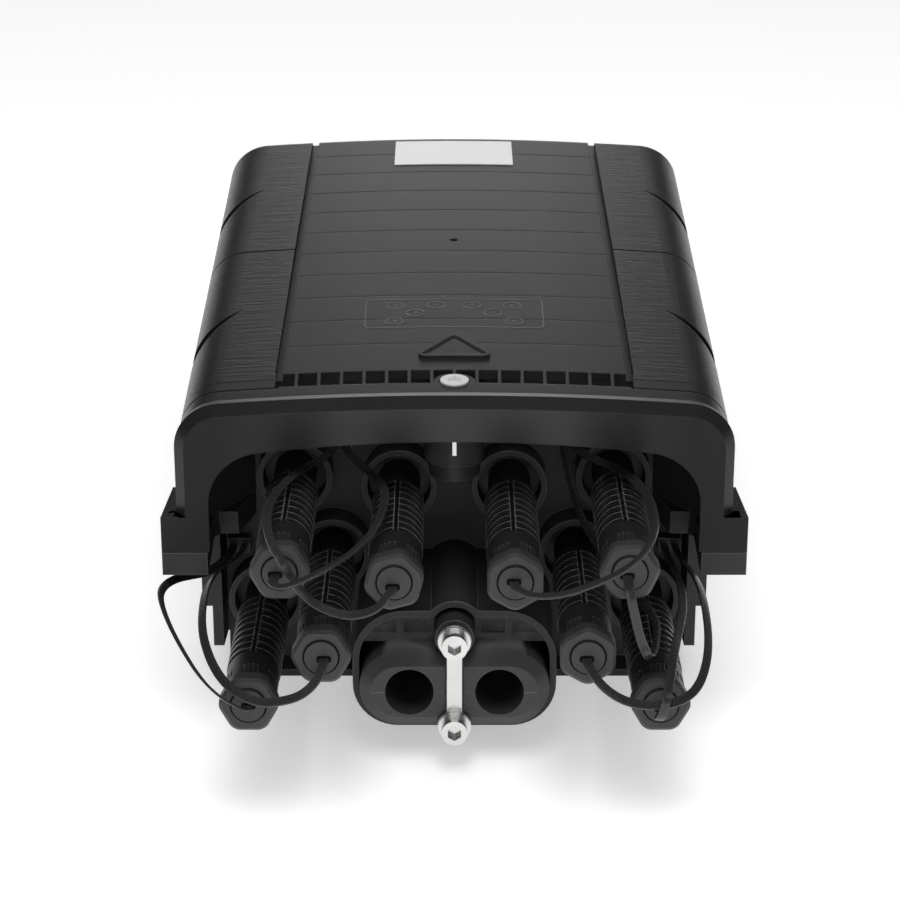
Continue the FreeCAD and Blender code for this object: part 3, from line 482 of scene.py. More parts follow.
def joinRows(mesh, rows, closed):
    count = len(rows[0])
    pairs = list(zip(rows, rows[1:]))
    if closed:
        pairs.append((rows[-1], rows[0]))
    for here, after in pairs:
        for index in range(count):
            other = (index + 1) % count
            mesh.faces.new((here[index], here[other], after[other], after[index]))
    if not closed:
        mesh.faces.new(rows[0])
        mesh.faces.new(list(reversed(rows[-1])))


# Cover: less taper and drop towards the hinges, and a flared hood with a slanted front edge
coverForm = {
    "front": -164.0, "length": 328.0, "bottom": 74.4, "height": 62.6,
    "drop": 2.0, "newDrop": 0.4,
    "halfWidth": 106.0, "taper": 3.5, "newTaper": -0.6,
    "groove": 67.0, "newGroove": 68.6, "grooveTaper": 3.0, "grooveEase": 0.12,
    "longer": 1.5, "longerRise": 10.0,
    "seam": 9.6, "seamReach": 60.0, "seamMargin": 0.5,
    "hingeMargin": 0.1, "earShare": 1.1,
}


def unit(value):
    return min(max(value, 0.0), 1.0)


def reshaped(mesh, form):
    for vertex in mesh.vertices:
        x, y, z = vertex.co / mm
        share = unit((y - form["front"]) / form["length"])
        groove = form["groove"]
        reach = abs(x)
        if reach > groove + form["seamMargin"]:
            y += form["seam"] * max(1.0 - abs(y) / form["seamReach"], 0.0)
        hinge = y > form["front"] + form["length"] + form["hingeMargin"]
        if not hinge:
            shift = form["newGroove"] - form["grooveTaper"] * share - groove
            newGroove = groove + shift * min(share / form["grooveEase"], 1.0)
            if reach < groove:
                reach *= newGroove / groove
            else:
                oldEdge = form["halfWidth"] - form["taper"] * share
                newEdge = form["halfWidth"] - form["newTaper"] * share
                outside = (reach - groove) / (oldEdge - groove)
                if outside < form["earShare"]:
                    reach = newGroove + outside * (newEdge - newGroove)
            rise = z - form["bottom"]
            y += form["longer"] * share * unit(rise / form["longerRise"])
            if rise > 0.0:
                oldTop = form["height"] - form["drop"] * share
                newTop = form["height"] - form["newDrop"] * share
                z = form["bottom"] + rise * newTop / oldTop
        vertex.co = Vector((math.copysign(reach, x), y, z)) * mm


arch = {
    "halfWidth": 106.0, "top": 137.0, "crown": 1200.0, "corner": 17.0, "low": 89.0,
    "cornerSteps": 12, "crownSteps": 24,
}


def archPoints(arch):
    middle = arch["halfWidth"] - arch["corner"]
    crownMiddle = arch["top"] - arch["crown"]
    cornerZ = crownMiddle + math.sqrt((arch["crown"] - arch["corner"]) ** 2 - middle ** 2)
    turn = math.atan2(cornerZ - crownMiddle, middle)
    half = [((arch["halfWidth"], arch["low"]), (1.0, 0.0))]
    for step in range(arch["cornerSteps"] + 1):
        angle = turn * step / arch["cornerSteps"]
        way = (math.cos(angle), math.sin(angle))
        half.append(((middle + arch["corner"] * way[0], cornerZ + arch["corner"] * way[1]), way))
    for step in range(1, arch["crownSteps"] + 1):
        angle = turn + (math.pi / 2 - turn) * step / arch["crownSteps"]
        way = (math.cos(angle), math.sin(angle))
        half.append(((arch["crown"] * way[0], crownMiddle + arch["crown"] * way[1]), way))
    other = [((-x, z), (-right, up)) for (x, z), (right, up) in reversed(half[:-1])]
    return half + other


def alongArch(section):
    mesh = bmesh.new()
    rows = []
    for (x, z), (right, up) in archPoints(arch):
        row = []
        for back, rise in section:
            spot = Vector((x + right * rise, coverForm["front"] + back, z + up * rise))
            row.append(mesh.verts.new(spot * mm))
        rows.append(row)
    joinRows(mesh, rows, False)
    return mesh


hood = {
    "cut": [(-1.0, -3.65), (4.5, 1.1), (6.2, 0.77), (6.2, 4.0), (-1.0, 4.0)],
    "flare": [(0.0, -2.79), (4.5, 1.1), (10.1, 0.02), (10.1, -0.5), (4.6, -0.5), (0.4, -3.6)],
    "sharpFrom": 16.0,
}
coverMesh = nodes["cover_shell"].data.copy()
reshaped(coverMesh, coverForm)
hoodCut = closeMesh("hood_cut", alongArch(hood["cut"]), caseFinish)
coverMesh = cutBy(coverMesh, hoodCut, "FAST")
coverPiece = addPiece("cover_moulding", coverMesh, "cover")
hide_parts("cover_shell")
flareMesh = closeMesh("hood_flare", alongArch(hood["flare"]), caseFinish)
addPiece("hood_flare", smoothed(flareMesh, hood["sharpFrom"]), "cover")
labelMesh = nodes["label_plate"].data.copy()
reshaped(labelMesh, coverForm)
labelPiece = addPiece("label_film", labelMesh, "cover")
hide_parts("label_plate")
print("cover reshaped:", len(coverMesh.vertices), "points")


# Caps: six-sided heads, slim collars with groups of grip slots
capForm = {
    "start": 96.0, "head": 119.0, "end": 126.0,
    "collar": 9.9, "lip": 0.4, "bore": 7.08, "boreDepth": 18.0,
    "across": 20.4, "corner": 5.0, "chamfer": 1.2,
    "recess": 6.8, "recessDepth": 1.4,
    "slotDepth": 0.7, "slotLength": 9.0, "slotGap": 0.8, "slotRamp": 0.05,
    "slots": (15.0, 25.0, 35.0, 45.0), "side": 60.0,
    "steps": 144,
    "turns": {1: 0.0, 2: 15.0, 3: 0.0, 4: 0.0, 5: 30.0, 6: 5.0, 7: 30.0, 8: 0.0},
}


def headReach(angle, inset):
    inner = capForm["across"] / 2 - capForm["corner"]
    corner = capForm["corner"] - inset
    flat = capForm["across"] / 2 - inset
    halfSide = math.pi / 6
    fromCorner = (angle + halfSide) % (2 * halfSide) - halfSide
    fromFlat = halfSide - abs(fromCorner)
    if flat * math.tan(fromFlat) <= inner * math.tan(halfSide):
        return flat / math.cos(fromFlat)
    middle = inner / math.cos(halfSide)
    aside = middle * math.sin(fromCorner)
    return middle * math.cos(fromCorner) + math.sqrt(corner ** 2 - aside ** 2)


def capRows(form):
    slotEnd = form["head"] - form["slotGap"]
    slotStart = slotEnd - form["slotLength"]
    collar = form["collar"]
    lip = form["lip"]

    def even(radius):
        return lambda angle: radius

    def slotted(angle):
        inSide = round(math.degrees(angle), 3) % form["side"]
        return collar - form["slotDepth"] if inSide in form["slots"] else collar

    def head(inset):
        return lambda angle: headReach(angle, inset)

    return [
        (even(form["bore"]), form["start"] + form["boreDepth"]),
        (even(form["bore"]), form["start"]),
        (even(collar - lip), form["start"]),
        (even(collar), form["start"] + lip),
        (even(collar), slotStart),
        (slotted, slotStart + form["slotRamp"]),
        (slotted, slotEnd - form["slotRamp"]),
        (even(collar), slotEnd),
        (even(collar), form["head"]),
        (head(0.0), form["head"]),
        (head(0.0), form["end"] - form["chamfer"]),
        (head(form["chamfer"]), form["end"]),
        (even(form["recess"]), form["end"]),
        (even(form["recess"]), form["end"] - form["recessDepth"]),
    ]


def plateMatrix(x, z):
    turn = Matrix((Vector((1.0, 0.0, 0.0)), upward, outward)).transposed().to_4x4()
    return Matrix.Translation(onPlate(x, z, 0.0, 0.0, 0.0)) @ turn


def capMesh(number):
    mesh = bmesh.new()
    rows = []
    for reachAt, height in capRows(capForm):
        row = []
        for step in range(capForm["steps"]):
            angle = 2 * math.pi * step / capForm["steps"]
            reach = reachAt(angle)
            spot = Vector((reach * math.cos(angle), reach * math.sin(angle), height))
            row.append(mesh.verts.new(spot * mm))
        rows.append(row)
    joinRows(mesh, rows, False)
    turn = Matrix.Rotation(math.radians(capForm["turns"][number]), 4, "Z")
    bmesh.ops.transform(mesh, matrix=plateMatrix(*portPlace(number)) @ turn, verts=mesh.verts)
    return smoothed(closeMesh("cap_%d" % number, mesh, capFinish))


for number in portNumbers:
    piece = addPiece("bayonet_cap_%d" % number, capMesh(number), "cap_%d" % number)
    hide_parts("dust_cap_%d" % number)
print("caps:", len(portNumbers))


# Gland: the plug's front edge cut off at a wide slant
glandForm = {
    "height": 20.0, "straight": 21.5, "radius": 15.0, "front": 82.0,
    "chamfer": 4.6, "past": 0.6, "steps": 32,
}


def glandCut(form):
    mesh = bmesh.new()
    deep = form["chamfer"] + form["past"]
    section = [(-deep, form["past"]), (form["past"], -deep), (form["past"], form["past"])]
    rows = []
    for side in (1, -1):
        for step in range(form["steps"] + 1):
            angle = math.pi * (step / form["steps"] - 0.5) * side
            row = []
            for rise, out in section:
                reach = form["radius"] + rise
                right = side * (form["straight"] + reach * math.cos(angle))
                spot = Vector((right, reach * math.sin(angle), form["front"] + out))
                row.append(mesh.verts.new(spot * mm))
            rows.append(row)
    joinRows(mesh, rows, True)
    bmesh.ops.transform(mesh, matrix=plateMatrix(0.0, form["height"] * mm), verts=mesh.verts)
    return closeMesh("gland_cut", mesh, glandFinish)


for name in ("gland_upper_half", "gland_lower_half"):
    half = closeMesh(name, meshOf(name), glandFinish)
    half = smoothed(cutBy(half, glandCut(glandForm), "EXACT"))
    piece = addPiece(name.replace("half", "plug"), half, "case")
    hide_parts(name)
print("gland halves cut")


# Tab behind the hood's edge, with the fin of the bolt's insert in its front
tabForm = {
    "low": 107.0, "high": 118.6, "middle": -145.6, "back": -102.5,
    "radius": 11.7, "wall": 4.0, "steps": 24,
}
finForm = {"half": 0.85, "low": 112.1, "high": 118.6, "front": -157.5, "depth": 2.0}


def tabMesh(form):
    mesh = bmesh.new()
    rows = []
    angles = [math.pi * step / form["steps"] for step in range(form["steps"] + 1)]
    ways = [(1.0, None)] + [(math.cos(angle), math.sin(angle)) for angle in angles] + [(-1.0, None)]
    outer = form["radius"]
    inner = outer - form["wall"]
    low, high = form["low"], form["high"]
    for right, ahead in ways:
        row = []
        for reach, height in ((outer, low), (outer, high), (inner, high), (inner, low)):
            y = form["back"] if ahead is None else form["middle"] - reach * ahead
            row.append(mesh.verts.new(Vector((right * reach, y, height)) * mm))
        rows.append(row)
    joinRows(mesh, rows, False)
    return smoothed(closeMesh("bolt_tab", mesh, plateFinish))


def finMesh(form):
    mesh = bmesh.new()
    rows = []
    half, low, high = form["half"], form["low"], form["high"]
    for y in (form["front"], form["front"] + form["depth"]):
        spots = [(-half, y, low), (half, y, low), (half, y, high), (-half, y, high)]
        rows.append([mesh.verts.new(Vector(spot) * mm) for spot in spots])
    joinRows(mesh, rows, False)
    return closeMesh("insert_fin", mesh, zincFinish)


addPiece("bolt_tab", tabMesh(tabForm), "case")
addPiece("insert_fin", finMesh(finForm), "case")
print("tab and fin added")


# Cover bolt: the copy's head is lower than the solid's and lies nearly flush with the band
boltForm = {"seat": 134.0, "head": 6.0, "newHead": 3.5}

boltMesh = nodes["cover_bolt"].data.copy()
lowered = 1.0 - boltForm["newHead"] / boltForm["head"]
for vertex in boltMesh.vertices:
    rise = vertex.co.z - boltForm["seat"] * mm
    vertex.co.z -= max(rise, 0.0) * lowered
boltPiece = addPiece("flush_bolt", boltMesh, "cover_bolt")
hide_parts("cover_bolt")
print("bolt head lowered")


# Straps: flat, on the same route points as the solids
strap = {
    "width": 3.4 * mm,
    "thickness": 1.0 * mm,
    "corner": 0.3 * mm,
    "cornerSteps": 3,
    "discFace": 126.95 * mm,
    "discLead": 4.5 * mm,
    "studFace": 7.15 * mm,
    "studLead": 10.0 * mm,
    "studPitch": 4.4 * mm,
}
upperStud = (45.5 * mm, 96.0 * mm)
lowerStud = (87.0 * mm, 53.0 * mm)
strapRoutes = {
    1: {
        "leaves": (-1.5 * mm, -0.5 * mm), "stud": upperStud, "hand": -1, "side": 1, "length": 0.1621,
        "way": [
            (-0.0660, -0.2390, 0.0985), (-0.0625, -0.2420, 0.0980), (-0.0555, -0.2410, 0.1000),
            (-0.0470, -0.2340, 0.1015), (-0.0380, -0.2220, 0.1015), (-0.0300, -0.2080, 0.1035),
            (-0.0260, -0.1840, 0.1040), (-0.0270, -0.1600, 0.1005), (-0.0325, -0.1420, 0.0980),
        ],
    },
    2: {
        "leaves": (-0.5 * mm, -1.5 * mm), "stud": upperStud, "hand": -1, "side": -1, "length": 0.1944,
        "way": [
            (-0.0245, -0.2395, 0.0935), (-0.0270, -0.2420, 0.0905), (-0.0320, -0.2415, 0.0875),
            (-0.0390, -0.2405, 0.0860), (-0.0460, -0.2390, 0.0875), (-0.0520, -0.2380, 0.0905),
            (-0.0560, -0.2370, 0.0950), (-0.0595, -0.2365, 0.1000), (-0.0625, -0.2380, 0.1075),
            (-0.0665, -0.2340, 0.1130), (-0.0690, -0.2140, 0.1120), (-0.0690, -0.1920, 0.1085),
            (-0.0660, -0.1740, 0.1065), (-0.0610, -0.1590, 0.1055), (-0.0555, -0.1420, 0.1015),
        ],
    },
    3: {
        "leaves": (1.0 * mm, -0.5 * mm), "stud": lowerStud, "hand": -1, "side": 1, "length": 0.1780,
        "way": [
            (-0.0495, -0.2425, 0.0620), (-0.0525, -0.2445, 0.0585), (-0.0570, -0.2455, 0.0555),
            (-0.0630, -0.2460, 0.0540), (-0.0695, -0.2465, 0.0535), (-0.0760, -0.2460, 0.0555),
            (-0.0835, -0.2400, 0.0575), (-0.0900, -0.2260, 0.0595), (-0.0950, -0.2040, 0.0605),
            (-0.0965, -0.1800, 0.0600), (-0.0965, -0.1560, 0.0570), (-0.0930, -0.1370, 0.0540),
        ],
    },
    4: {
        "leaves": (0.0, 0.0), "stud": lowerStud, "hand": -1, "side": -1, "length": 0.1551,
        "way": [
            (-0.0795, -0.2425, 0.0495), (-0.0865, -0.2400, 0.0530), (-0.0940, -0.2300, 0.0555),
            (-0.1020, -0.2130, 0.0585), (-0.1090, -0.1950, 0.0615), (-0.1130, -0.1790, 0.0630),
            (-0.1125, -0.1660, 0.0610), (-0.1090, -0.1540, 0.0580), (-0.1035, -0.1440, 0.0545),
            (-0.0970, -0.1360, 0.0520),
        ],
    },
    5: {
        "leaves": (-0.5 * mm, 0.5 * mm), "stud": upperStud, "hand": 1, "side": 1, "length": 0.1919,
        "way": [
            (0.0255, -0.2400, 0.0945), (0.0315, -0.2410, 0.0940), (0.0400, -0.2410, 0.0950),
            (0.0490, -0.2400, 0.0980), (0.0585, -0.2400, 0.1025), (0.0660, -0.2400, 0.1085),
            (0.0710, -0.2340, 0.1130), (0.0735, -0.2140, 0.1115), (0.0730, -0.1860, 0.1080),
            (0.0685, -0.1600, 0.1040), (0.0615, -0.1440, 0.1015),
        ],
    },
    6: {
        "leaves": (-1.0 * mm, -1.0 * mm), "stud": upperStud, "hand": 1, "side": -1, "length": 0.1775,
        "way": [
            (0.0635, -0.2390, 0.0925), (0.0650, -0.2390, 0.0855), (0.0670, -0.2380, 0.0765),
            (0.0695, -0.2365, 0.0695), (0.0715, -0.2330, 0.0645), (0.0735, -0.2290, 0.0655),
            (0.0745, -0.2250, 0.0700), (0.0745, -0.2180, 0.0730), (0.0685, -0.2015, 0.0750),
            (0.0625, -0.1790, 0.0730), (0.0555, -0.1565, 0.0735), (0.0485, -0.1395, 0.0800),
        ],
    },
    7: {
        "leaves": (-0.5 * mm, -0.5 * mm), "stud": lowerStud, "hand": 1, "side": 1, "length": 0.1780,
        "way": [
            (0.0510, -0.2425, 0.0620), (0.0550, -0.2445, 0.0580), (0.0605, -0.2455, 0.0545),
            (0.0670, -0.2460, 0.0525), (0.0750, -0.2465, 0.0525), (0.0825, -0.2450, 0.0535),
            (0.0890, -0.2380, 0.0550), (0.0935, -0.2220, 0.0565), (0.0960, -0.2000, 0.0565),
            (0.0965, -0.1760, 0.0570), (0.0960, -0.1540, 0.0555), (0.0930, -0.1370, 0.0545),
        ],
    },
    8: {
        "leaves": (0.0, -0.8 * mm), "stud": lowerStud, "hand": 1, "side": -1, "length": 0.1568,
        "way": [
            (0.0740, -0.2450, 0.0455), (0.0755, -0.2495, 0.0500), (0.0770, -0.2485, 0.0580),
            (0.0790, -0.2380, 0.0625), (0.0815, -0.2200, 0.0610), (0.0850, -0.1960, 0.0575),
            (0.0885, -0.1720, 0.0550), (0.0890, -0.1480, 0.0540),
        ],
    },
}


# Geometry trees, one input a size
class Form(Maker):
    def __init__(self, name, sizes):
        self.tree = bpy.data.node_groups.new(name, "GeometryNodeTree")
        sockets = self.tree.interface
        sockets.new_socket(name="Geometry", in_out="INPUT", socket_type="NodeSocketGeometry")
        for size in sizes:
            sockets.new_socket(name=size, in_out="INPUT", socket_type="NodeSocketFloat")
        sockets.new_socket(name="Finish", in_out="INPUT", socket_type="NodeSocketMaterial")
        sockets.new_socket(name="Geometry", in_out="OUTPUT", socket_type="NodeSocketGeometry")
        self.start = self.tree.nodes.new("NodeGroupInput")

    def given(self, name):
        return Wire(self, self.start.outputs[name])

    def rectangle(self, width, height):
        sizes = {"Width": self.given(width), "Height": self.given(height)}
        return self.node("GeometryNodeCurvePrimitiveQuadrilateral", {"mode": "RECTANGLE"}, sizes)

    def filleted(self, curve, steps):
        corners = {"Curve": curve, "Count": steps, "Radius": self.given("Corner"), "Limit Radius": True}
        return self.node("GeometryNodeFilletCurve", {"mode": "POLY"}, corners)

    def onSpots(self, geometry, turn):
        spots = {"Points": self.given("Geometry"), "Instance": geometry, "Rotation": turn}
        return self.close(self.node("GeometryNodeInstanceOnPoints", {}, spots))

    def close(self, geometry):
        real = self.node("GeometryNodeRealizeInstances", {}, {"Geometry": geometry})
        sockets = {"Geometry": real, "Material": self.given("Finish")}
        shown = self.node("GeometryNodeSetMaterial", {}, sockets)
        self.node("NodeGroupOutput", {}, {"Geometry": shown})
        return self.tree


def grown(tree, carrier, values):
    modifier = carrier.modifiers.new("form", "NODES")
    modifier.node_group = tree
    for item in tree.interface.items_tree:
        if item.in_out == "INPUT" and item.name in values:
            modifier[item.identifier] = values[item.name]
    bpy.context.view_layer.update()
    mesh = meshFrom(carrier)
    carrier.modifiers.remove(modifier)
    return mesh


def strapTree():
    form = Form("strapForm", ["Width", "Thickness", "Corner"])
    section = form.filleted(form.rectangle("Width", "Thickness"), strap["cornerSteps"])
    sweep = {"Curve": form.given("Geometry"), "Profile Curve": section, "Fill Caps": True}
    band = form.node("GeometryNodeCurveToMesh", {}, sweep)
    return form.close(form.node("GeometryNodeSetShadeSmooth", {}, {"Geometry": band}))


def strapSpline(number, points):
    curve = bpy.data.curves.new("strapRoute%d" % number, "CURVE")
    curve.dimensions = "3D"
    curve.twist_mode = "MINIMUM"
    spline = curve.splines.new("NURBS")
    spline.points.add(len(points) - 1)
    for point, spot in zip(spline.points, points):
        point.co = (*spot, 1.0)
    spline.order_u = 3
    spline.use_endpoint_u = True
    spline.resolution_u = 8
    return curve


strapBand = strapTree()
strapSizes = {
    "Width": strap["width"], "Thickness": strap["thickness"],
    "Corner": strap["corner"], "Finish": strapFinish,
}
for number, route in strapRoutes.items():
    x, z = portPlace(number)
    right, up = route["leaves"]
    studX, studZ = route["stud"]
    studX = studX * route["hand"]
    shift = route["side"] * strap["studPitch"] / 2
    points = [onPlate(x, z, right, up, strap["discFace"])]
    points.append(onPlate(x, z, right, up, strap["discFace"] + strap["discLead"]))
    points += [Vector(spot) for spot in route["way"]]
    points.append(onPlate(studX, studZ, shift, 0.0, strap["studFace"] + strap["studLead"]))
    points.append(onPlate(studX, studZ, shift, 0.0, strap["studFace"]))
    carrier = linked("strapRoute", strapSpline(number, points))
    path = [vertex.co.copy() for vertex in meshFrom(carrier).vertices]
    band = grown(strapBand, carrier, strapSizes)
    bpy.data.objects.remove(carrier)
    piece = addPiece("strap_%d" % number, band, "case")
    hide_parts("tether_%d" % number)
print("straps:", len(strapRoutes))


# Painted shade in the caps' heads: near-black sheets on the face, on the line round each disc and on the
# slit that its strap comes out of
capGapShade = {
    "face": 126.8 * mm,
    "ring": 6.35 * mm,
    "ringSteps": 48,
    "line": 0.32 * mm,
    "slitWidth": 5.4 * mm,
    "slitHeight": 2.6 * mm,
    "slitCorner": 1.0 * mm,
    "slitSteps": 5,
    "lift": 0.08 * mm,
}
faceTurn = (math.atan2(-outward.y, outward.z), 0.0, 0.0)


def ringTree():
    form = Form("discShadeLineForm", ["Ring", "Line", "Lift"])
    ring = {"Resolution": capGapShade["ringSteps"], "Radius": form.given("Ring")}
    circle = form.node("GeometryNodeCurvePrimitiveCircle", {}, ring)
    sweep = {"Curve": circle, "Profile Curve": form.rectangle("Line", "Lift")}
    return form.onSpots(form.node("GeometryNodeCurveToMesh", {}, sweep), faceTurn)


def slitTree():
    form = Form("strapSlitShadeForm", ["Width", "Height", "Corner", "Lift"])
    outline = form.filleted(form.rectangle("Width", "Height"), capGapShade["slitSteps"])
    plate = form.node("GeometryNodeFillCurve", {}, {"Curve": outline})
    sockets = {"Mesh": plate, "Offset Scale": form.given("Lift")}
    return form.onSpots(form.node("GeometryNodeExtrudeMesh", {}, sockets, "Mesh"), faceTurn)


def scattered(tree, spots, sizes):
    dots = bpy.data.meshes.new("spots")
    dots.from_pydata(spots, [], [])
    carrier = linked("spots", dots)
    mesh = grown(tree, carrier, dict(sizes, Finish=gapShadeFinish))
    bpy.data.objects.remove(carrier)
    return mesh


discSpots = []
slitSpots = []
for number in portNumbers:
    x, z = portPlace(number)
    right, up = strapRoutes[number]["leaves"]
    discSpots.append(onPlate(x, z, 0.0, 0.0, capGapShade["face"]))
    slitSpots.append(onPlate(x, z, right, up, capGapShade["face"]))
ringSizes = {"Ring": capGapShade["ring"], "Line": capGapShade["line"], "Lift": capGapShade["lift"]}
addPiece("disc_shade_lines", scattered(ringTree(), discSpots, ringSizes), "case")
slitSizes = {
    "Width": capGapShade["slitWidth"], "Height": capGapShade["slitHeight"],
    "Corner": capGapShade["slitCorner"], "Lift": capGapShade["lift"],
}
addPiece("strap_slits", scattered(slitTree(), slitSpots, slitSizes), "case")
print("gaps in the caps' heads:", len(discSpots))


# Raised marks on the cover's crown
coverTree = BVHTree.FromObject(coverPiece, bpy.context.evaluated_depsgraph_get())
skyHeight = cadBox[1].z + 50.0 * mm
bridged = 1.5 * mm
markStep = 3.0 * mm
markCornerSteps = 6


def crownAt(x, y):
    # the highest of three spots, so that a mark bridges the cover's fine lines
    down = Vector((0.0, 0.0, -1.0))
    spots = [Vector((x, y + shift, skyHeight)) for shift in (-bridged, 0.0, bridged)]
    return max(coverTree.ray_cast(spot, down)[0].z for spot in spots)


def divided(loop, step):
    fine = []
    for index, here in enumerate(loop):
        after = loop[(index + 1) % len(loop)]
        parts = max(1, math.ceil((after - here).length / step))
        fine += [here.lerp(after, part / parts) for part in range(parts)]
    return fine


def roundedLoop(corners, radius, steps):
    loop = []
    count = len(corners)
    for index, corner in enumerate(corners):
        here = Vector(corner)
        back = (Vector(corners[index - 1]) - here).normalized()
        ahead = (Vector(corners[(index + 1) % count]) - here).normalized()
        half = back.angle(ahead) / 2
        middle = here + (back + ahead).normalized() * radius / math.sin(half)
        first = here + back * radius / math.tan(half) - middle
        last = here + ahead * radius / math.tan(half) - middle
        for step in range(steps + 1):
            spot = first.lerp(last, step / steps).normalized() * radius
            loop.append(middle + spot)
    return loop


def circleLoop(centre, radius, steps):
    angles = [2 * math.pi / steps * step for step in range(steps)]
    return [centre + radius * Vector((math.cos(angle), math.sin(angle))) for angle in angles]


def layLine(mesh, loop, width, lift):
    rows = []
    for index, here in enumerate(loop):
        along = (loop[(index + 1) % len(loop)] - loop[index - 1]).normalized()
        across = Vector((-along.y, along.x)) * width / 2
        left, right = here + across, here - across
        row = []
        for spot, rise in ((left, 0.0), (left, lift), (right, lift), (right, 0.0)):
            row.append(mesh.verts.new((spot.x, spot.y, crownAt(spot.x, spot.y) + rise)))
        rows.append(row)
    joinRows(mesh, rows, True)


def layPlate(mesh, loop, lift, slope):
    inner = []
    count = len(loop)
    for index, here in enumerate(loop):
        along = (loop[(index + 1) % count] - loop[index - 1]).normalized()
        inner.append(here - slope * Vector((along.y, -along.x)))
    low = [mesh.verts.new((p.x, p.y, crownAt(p.x, p.y))) for p in loop]
    high = [mesh.verts.new((p.x, p.y, crownAt(p.x, p.y) + lift)) for p in inner]
    joinRows(mesh, [high, low], False)


def digitMesh(text, size, depth):
    curve = bpy.data.curves.new("digit", "FONT")
    curve.body = text
    curve.size = size
    curve.extrude = depth / 2
    curve.align_x = "CENTER"
    curve.align_y = "CENTER"
    carrier = linked("digit", curve)
    mesh = meshFrom(carrier)
    bpy.data.objects.remove(carrier)
    return mesh


legend = {
    "near": -86.0 * mm,
    "far": -55.0 * mm,
    "halfWidth": 36.0 * mm,
    "corner": 2.5 * mm,
    "line": 0.5 * mm,
    "lift": 0.12 * mm,
    "ring": 3.6 * mm,
    "ringSteps": 36,
    "digit": 3.6 * mm,
    "spots": {
        "1": (-23.8, -61.5), "2": (-7.4, -61.5), "5": (7.4, -61.5), "6": (23.6, -61.5),
        "3": (-15.8, -70.0), "7": (15.8, -70.0), "4": (-24.2, -79.0), "8": (24.2, -79.0),
    },
}
lines = bmesh.new()
frameCorners = [
    (-legend["halfWidth"], legend["near"]), (legend["halfWidth"], legend["near"]),
    (legend["halfWidth"], legend["far"]), (-legend["halfWidth"], legend["far"]),
]
frameLoop = divided(roundedLoop(frameCorners, legend["corner"], markCornerSteps), markStep)
layLine(lines, frameLoop, legend["line"], legend["lift"])
for text, (x, y) in legend["spots"].items():
    spot = Vector((x, y)) * mm
    circle = circleLoop(spot, legend["ring"], legend["ringSteps"])
    layLine(lines, circle, legend["line"], legend["lift"])
    digit = digitMesh(text, legend["digit"], legend["lift"])
    height = crownAt(spot.x, spot.y) + legend["lift"] / 2
    digit.transform(Matrix.Translation((spot.x, spot.y, height)))
    lines.from_mesh(digit)
addPiece("port_legend", closeMesh("port_legend", lines, legendFinish), "cover")

pointer = {
    "base": -118.0 * mm,
    "tip": -95.0 * mm,
    "halfWidth": 15.0 * mm,
    "corner": 2.0 * mm,
    "lift": 0.5 * mm,
    "slope": 0.5 * mm,
    "rim": 1.6 * mm,
    "rimLift": 1.0 * mm,
}
corners = [
    (-pointer["halfWidth"], pointer["base"]), (pointer["halfWidth"], pointer["base"]),
    (0.0, pointer["tip"]),
]
plate = bmesh.new()
pointerLoop = divided(roundedLoop(corners, pointer["corner"], markCornerSteps), markStep)
layPlate(plate, pointerLoop, pointer["lift"], pointer["slope"])
layLine(plate, pointerLoop, pointer["rim"], pointer["rimLift"])
addPiece("raised_pointer", closeMesh("raised_pointer", plate, caseFinish), "cover")
print("marks on the cover laid")


# Floor and light
white = rgb(1.0, 1.0, 1.0)
floor = {
    "size": 6.0, "height": -0.2 * mm, "glow": 0.42,
    "dark": rgb(0.86, 0.86, 0.86), "light": rgb(0.88, 0.88, 0.88),
    "cloudScale": 3.0, "cloudDetail": 2.0,
}


def paleFloor():
    made = Finish("paleFloor")
    cloud = made.noise(floor["cloudScale"], floor["cloudDetail"])
    colour = made.blend(cloud, floor["dark"], floor["light"])
    seen = made.node("ShaderNodeLightPath", outlet="Is Camera Ray")
    glossy = made.node("ShaderNodeLightPath", outlet="Is Glossy Ray")
    light = (seen + glossy) * floor["glow"]
    matt = made.node("ShaderNodeBsdfDiffuse", {}, {"Color": colour})
    glow = made.node("ShaderNodeEmission", {}, {"Color": white, "Strength": light})
    both = made.node("ShaderNodeAddShader", {}, {0: matt, 1: glow})
    made.node("ShaderNodeOutputMaterial", {}, {"Surface": both})
    return made.material


ground = bmesh.new()
bmesh.ops.create_grid(ground, x_segments=1, y_segments=1, size=floor["size"])
groundMesh = bpy.data.meshes.new("floor")
ground.to_mesh(groundMesh)
ground.free()
groundMesh.materials.append(paleFloor())
groundPiece = linked("floor", groundMesh)
groundPiece.location = (0.0, 0.0, floor["height"])

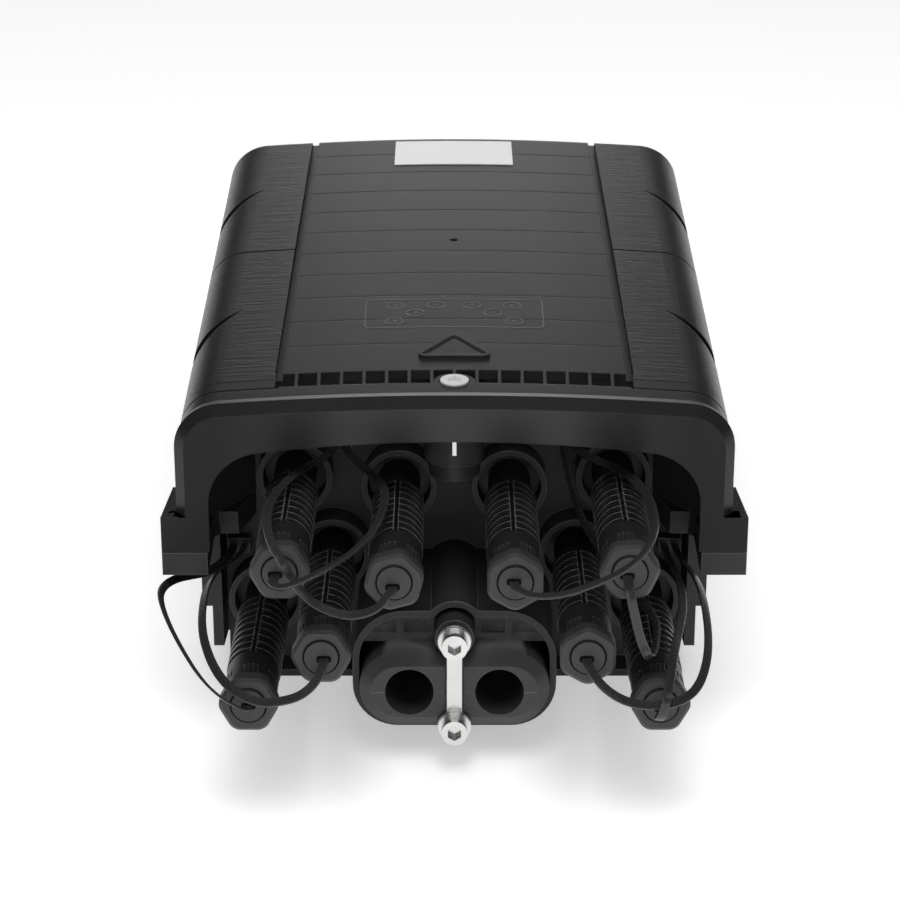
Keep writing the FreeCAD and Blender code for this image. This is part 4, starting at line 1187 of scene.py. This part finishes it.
# Even light on matt surfaces, while gloss mirrors a room that is dim overhead and bright low behind
room = {"even": 0.34, "dim": 0.05, "glow": 13.0, "height": 0.21, "spread": 0.15, "narrow": 80.0}


class Room(Maker):
    def __init__(self, world):
        world.use_nodes = True
        self.tree = world.node_tree
        self.tree.nodes.clear()
        way = self.node("ShaderNodeTexCoord", outlet="Generated")
        along = self.node("ShaderNodeSeparateXYZ", {}, {0: way}, "Y")
        up = self.node("ShaderNodeSeparateXYZ", {}, {0: way}, "Z")
        band = (1 - abs(up - room["height"]) / room["spread"]).clamped()
        behind = along.clamped() ** room["narrow"]
        mirrored = room["dim"] + band * behind * room["glow"]
        seen = self.node("ShaderNodeLightPath", outlet="Is Camera Ray")
        glossy = self.node("ShaderNodeLightPath", outlet="Is Glossy Ray")
        strength = seen + glossy * mirrored + (1 - seen - glossy) * room["even"]
        glow = self.node("ShaderNodeBackground", {}, {"Color": white, "Strength": strength})
        self.node("ShaderNodeOutputWorld", {}, {"Surface": glow})


bpy.context.scene.world = bpy.data.worlds.new("studio")
Room(bpy.context.scene.world)

coverAim = (0.0, -0.10, 0.1)
portsAim = (0.0, -0.15, 0.08)
softboxes = {
    "overhead": {"place": (0.0, -0.50, 1.5), "aim": coverAim, "size": 1.0, "power": 15.2, "mirrored": False},
    "left": {"place": (-1.2, -1.2, 0.9), "aim": portsAim, "size": 0.6, "power": 1.5, "mirrored": True},
    "right": {"place": (1.2, -1.2, 0.9), "aim": portsAim, "size": 0.6, "power": 1.5, "mirrored": True},
    "front": {"place": (0.0, -2.1, 0.6), "aim": portsAim, "size": 0.9, "power": 5.2, "mirrored": True},
}
for name, box in softboxes.items():
    lamp = bpy.data.lights.new(name, "AREA")
    lamp.shape = "SQUARE"
    lamp.size = box["size"]
    lamp.energy = box["power"]
    holder = linked(name, lamp)
    holder.location = box["place"]
    away = Vector(box["place"]) - Vector(box["aim"])
    holder.rotation_euler = away.to_track_quat("Z", "Y").to_euler()
    holder.visible_glossy = box["mirrored"]
print("lights:", len(softboxes))
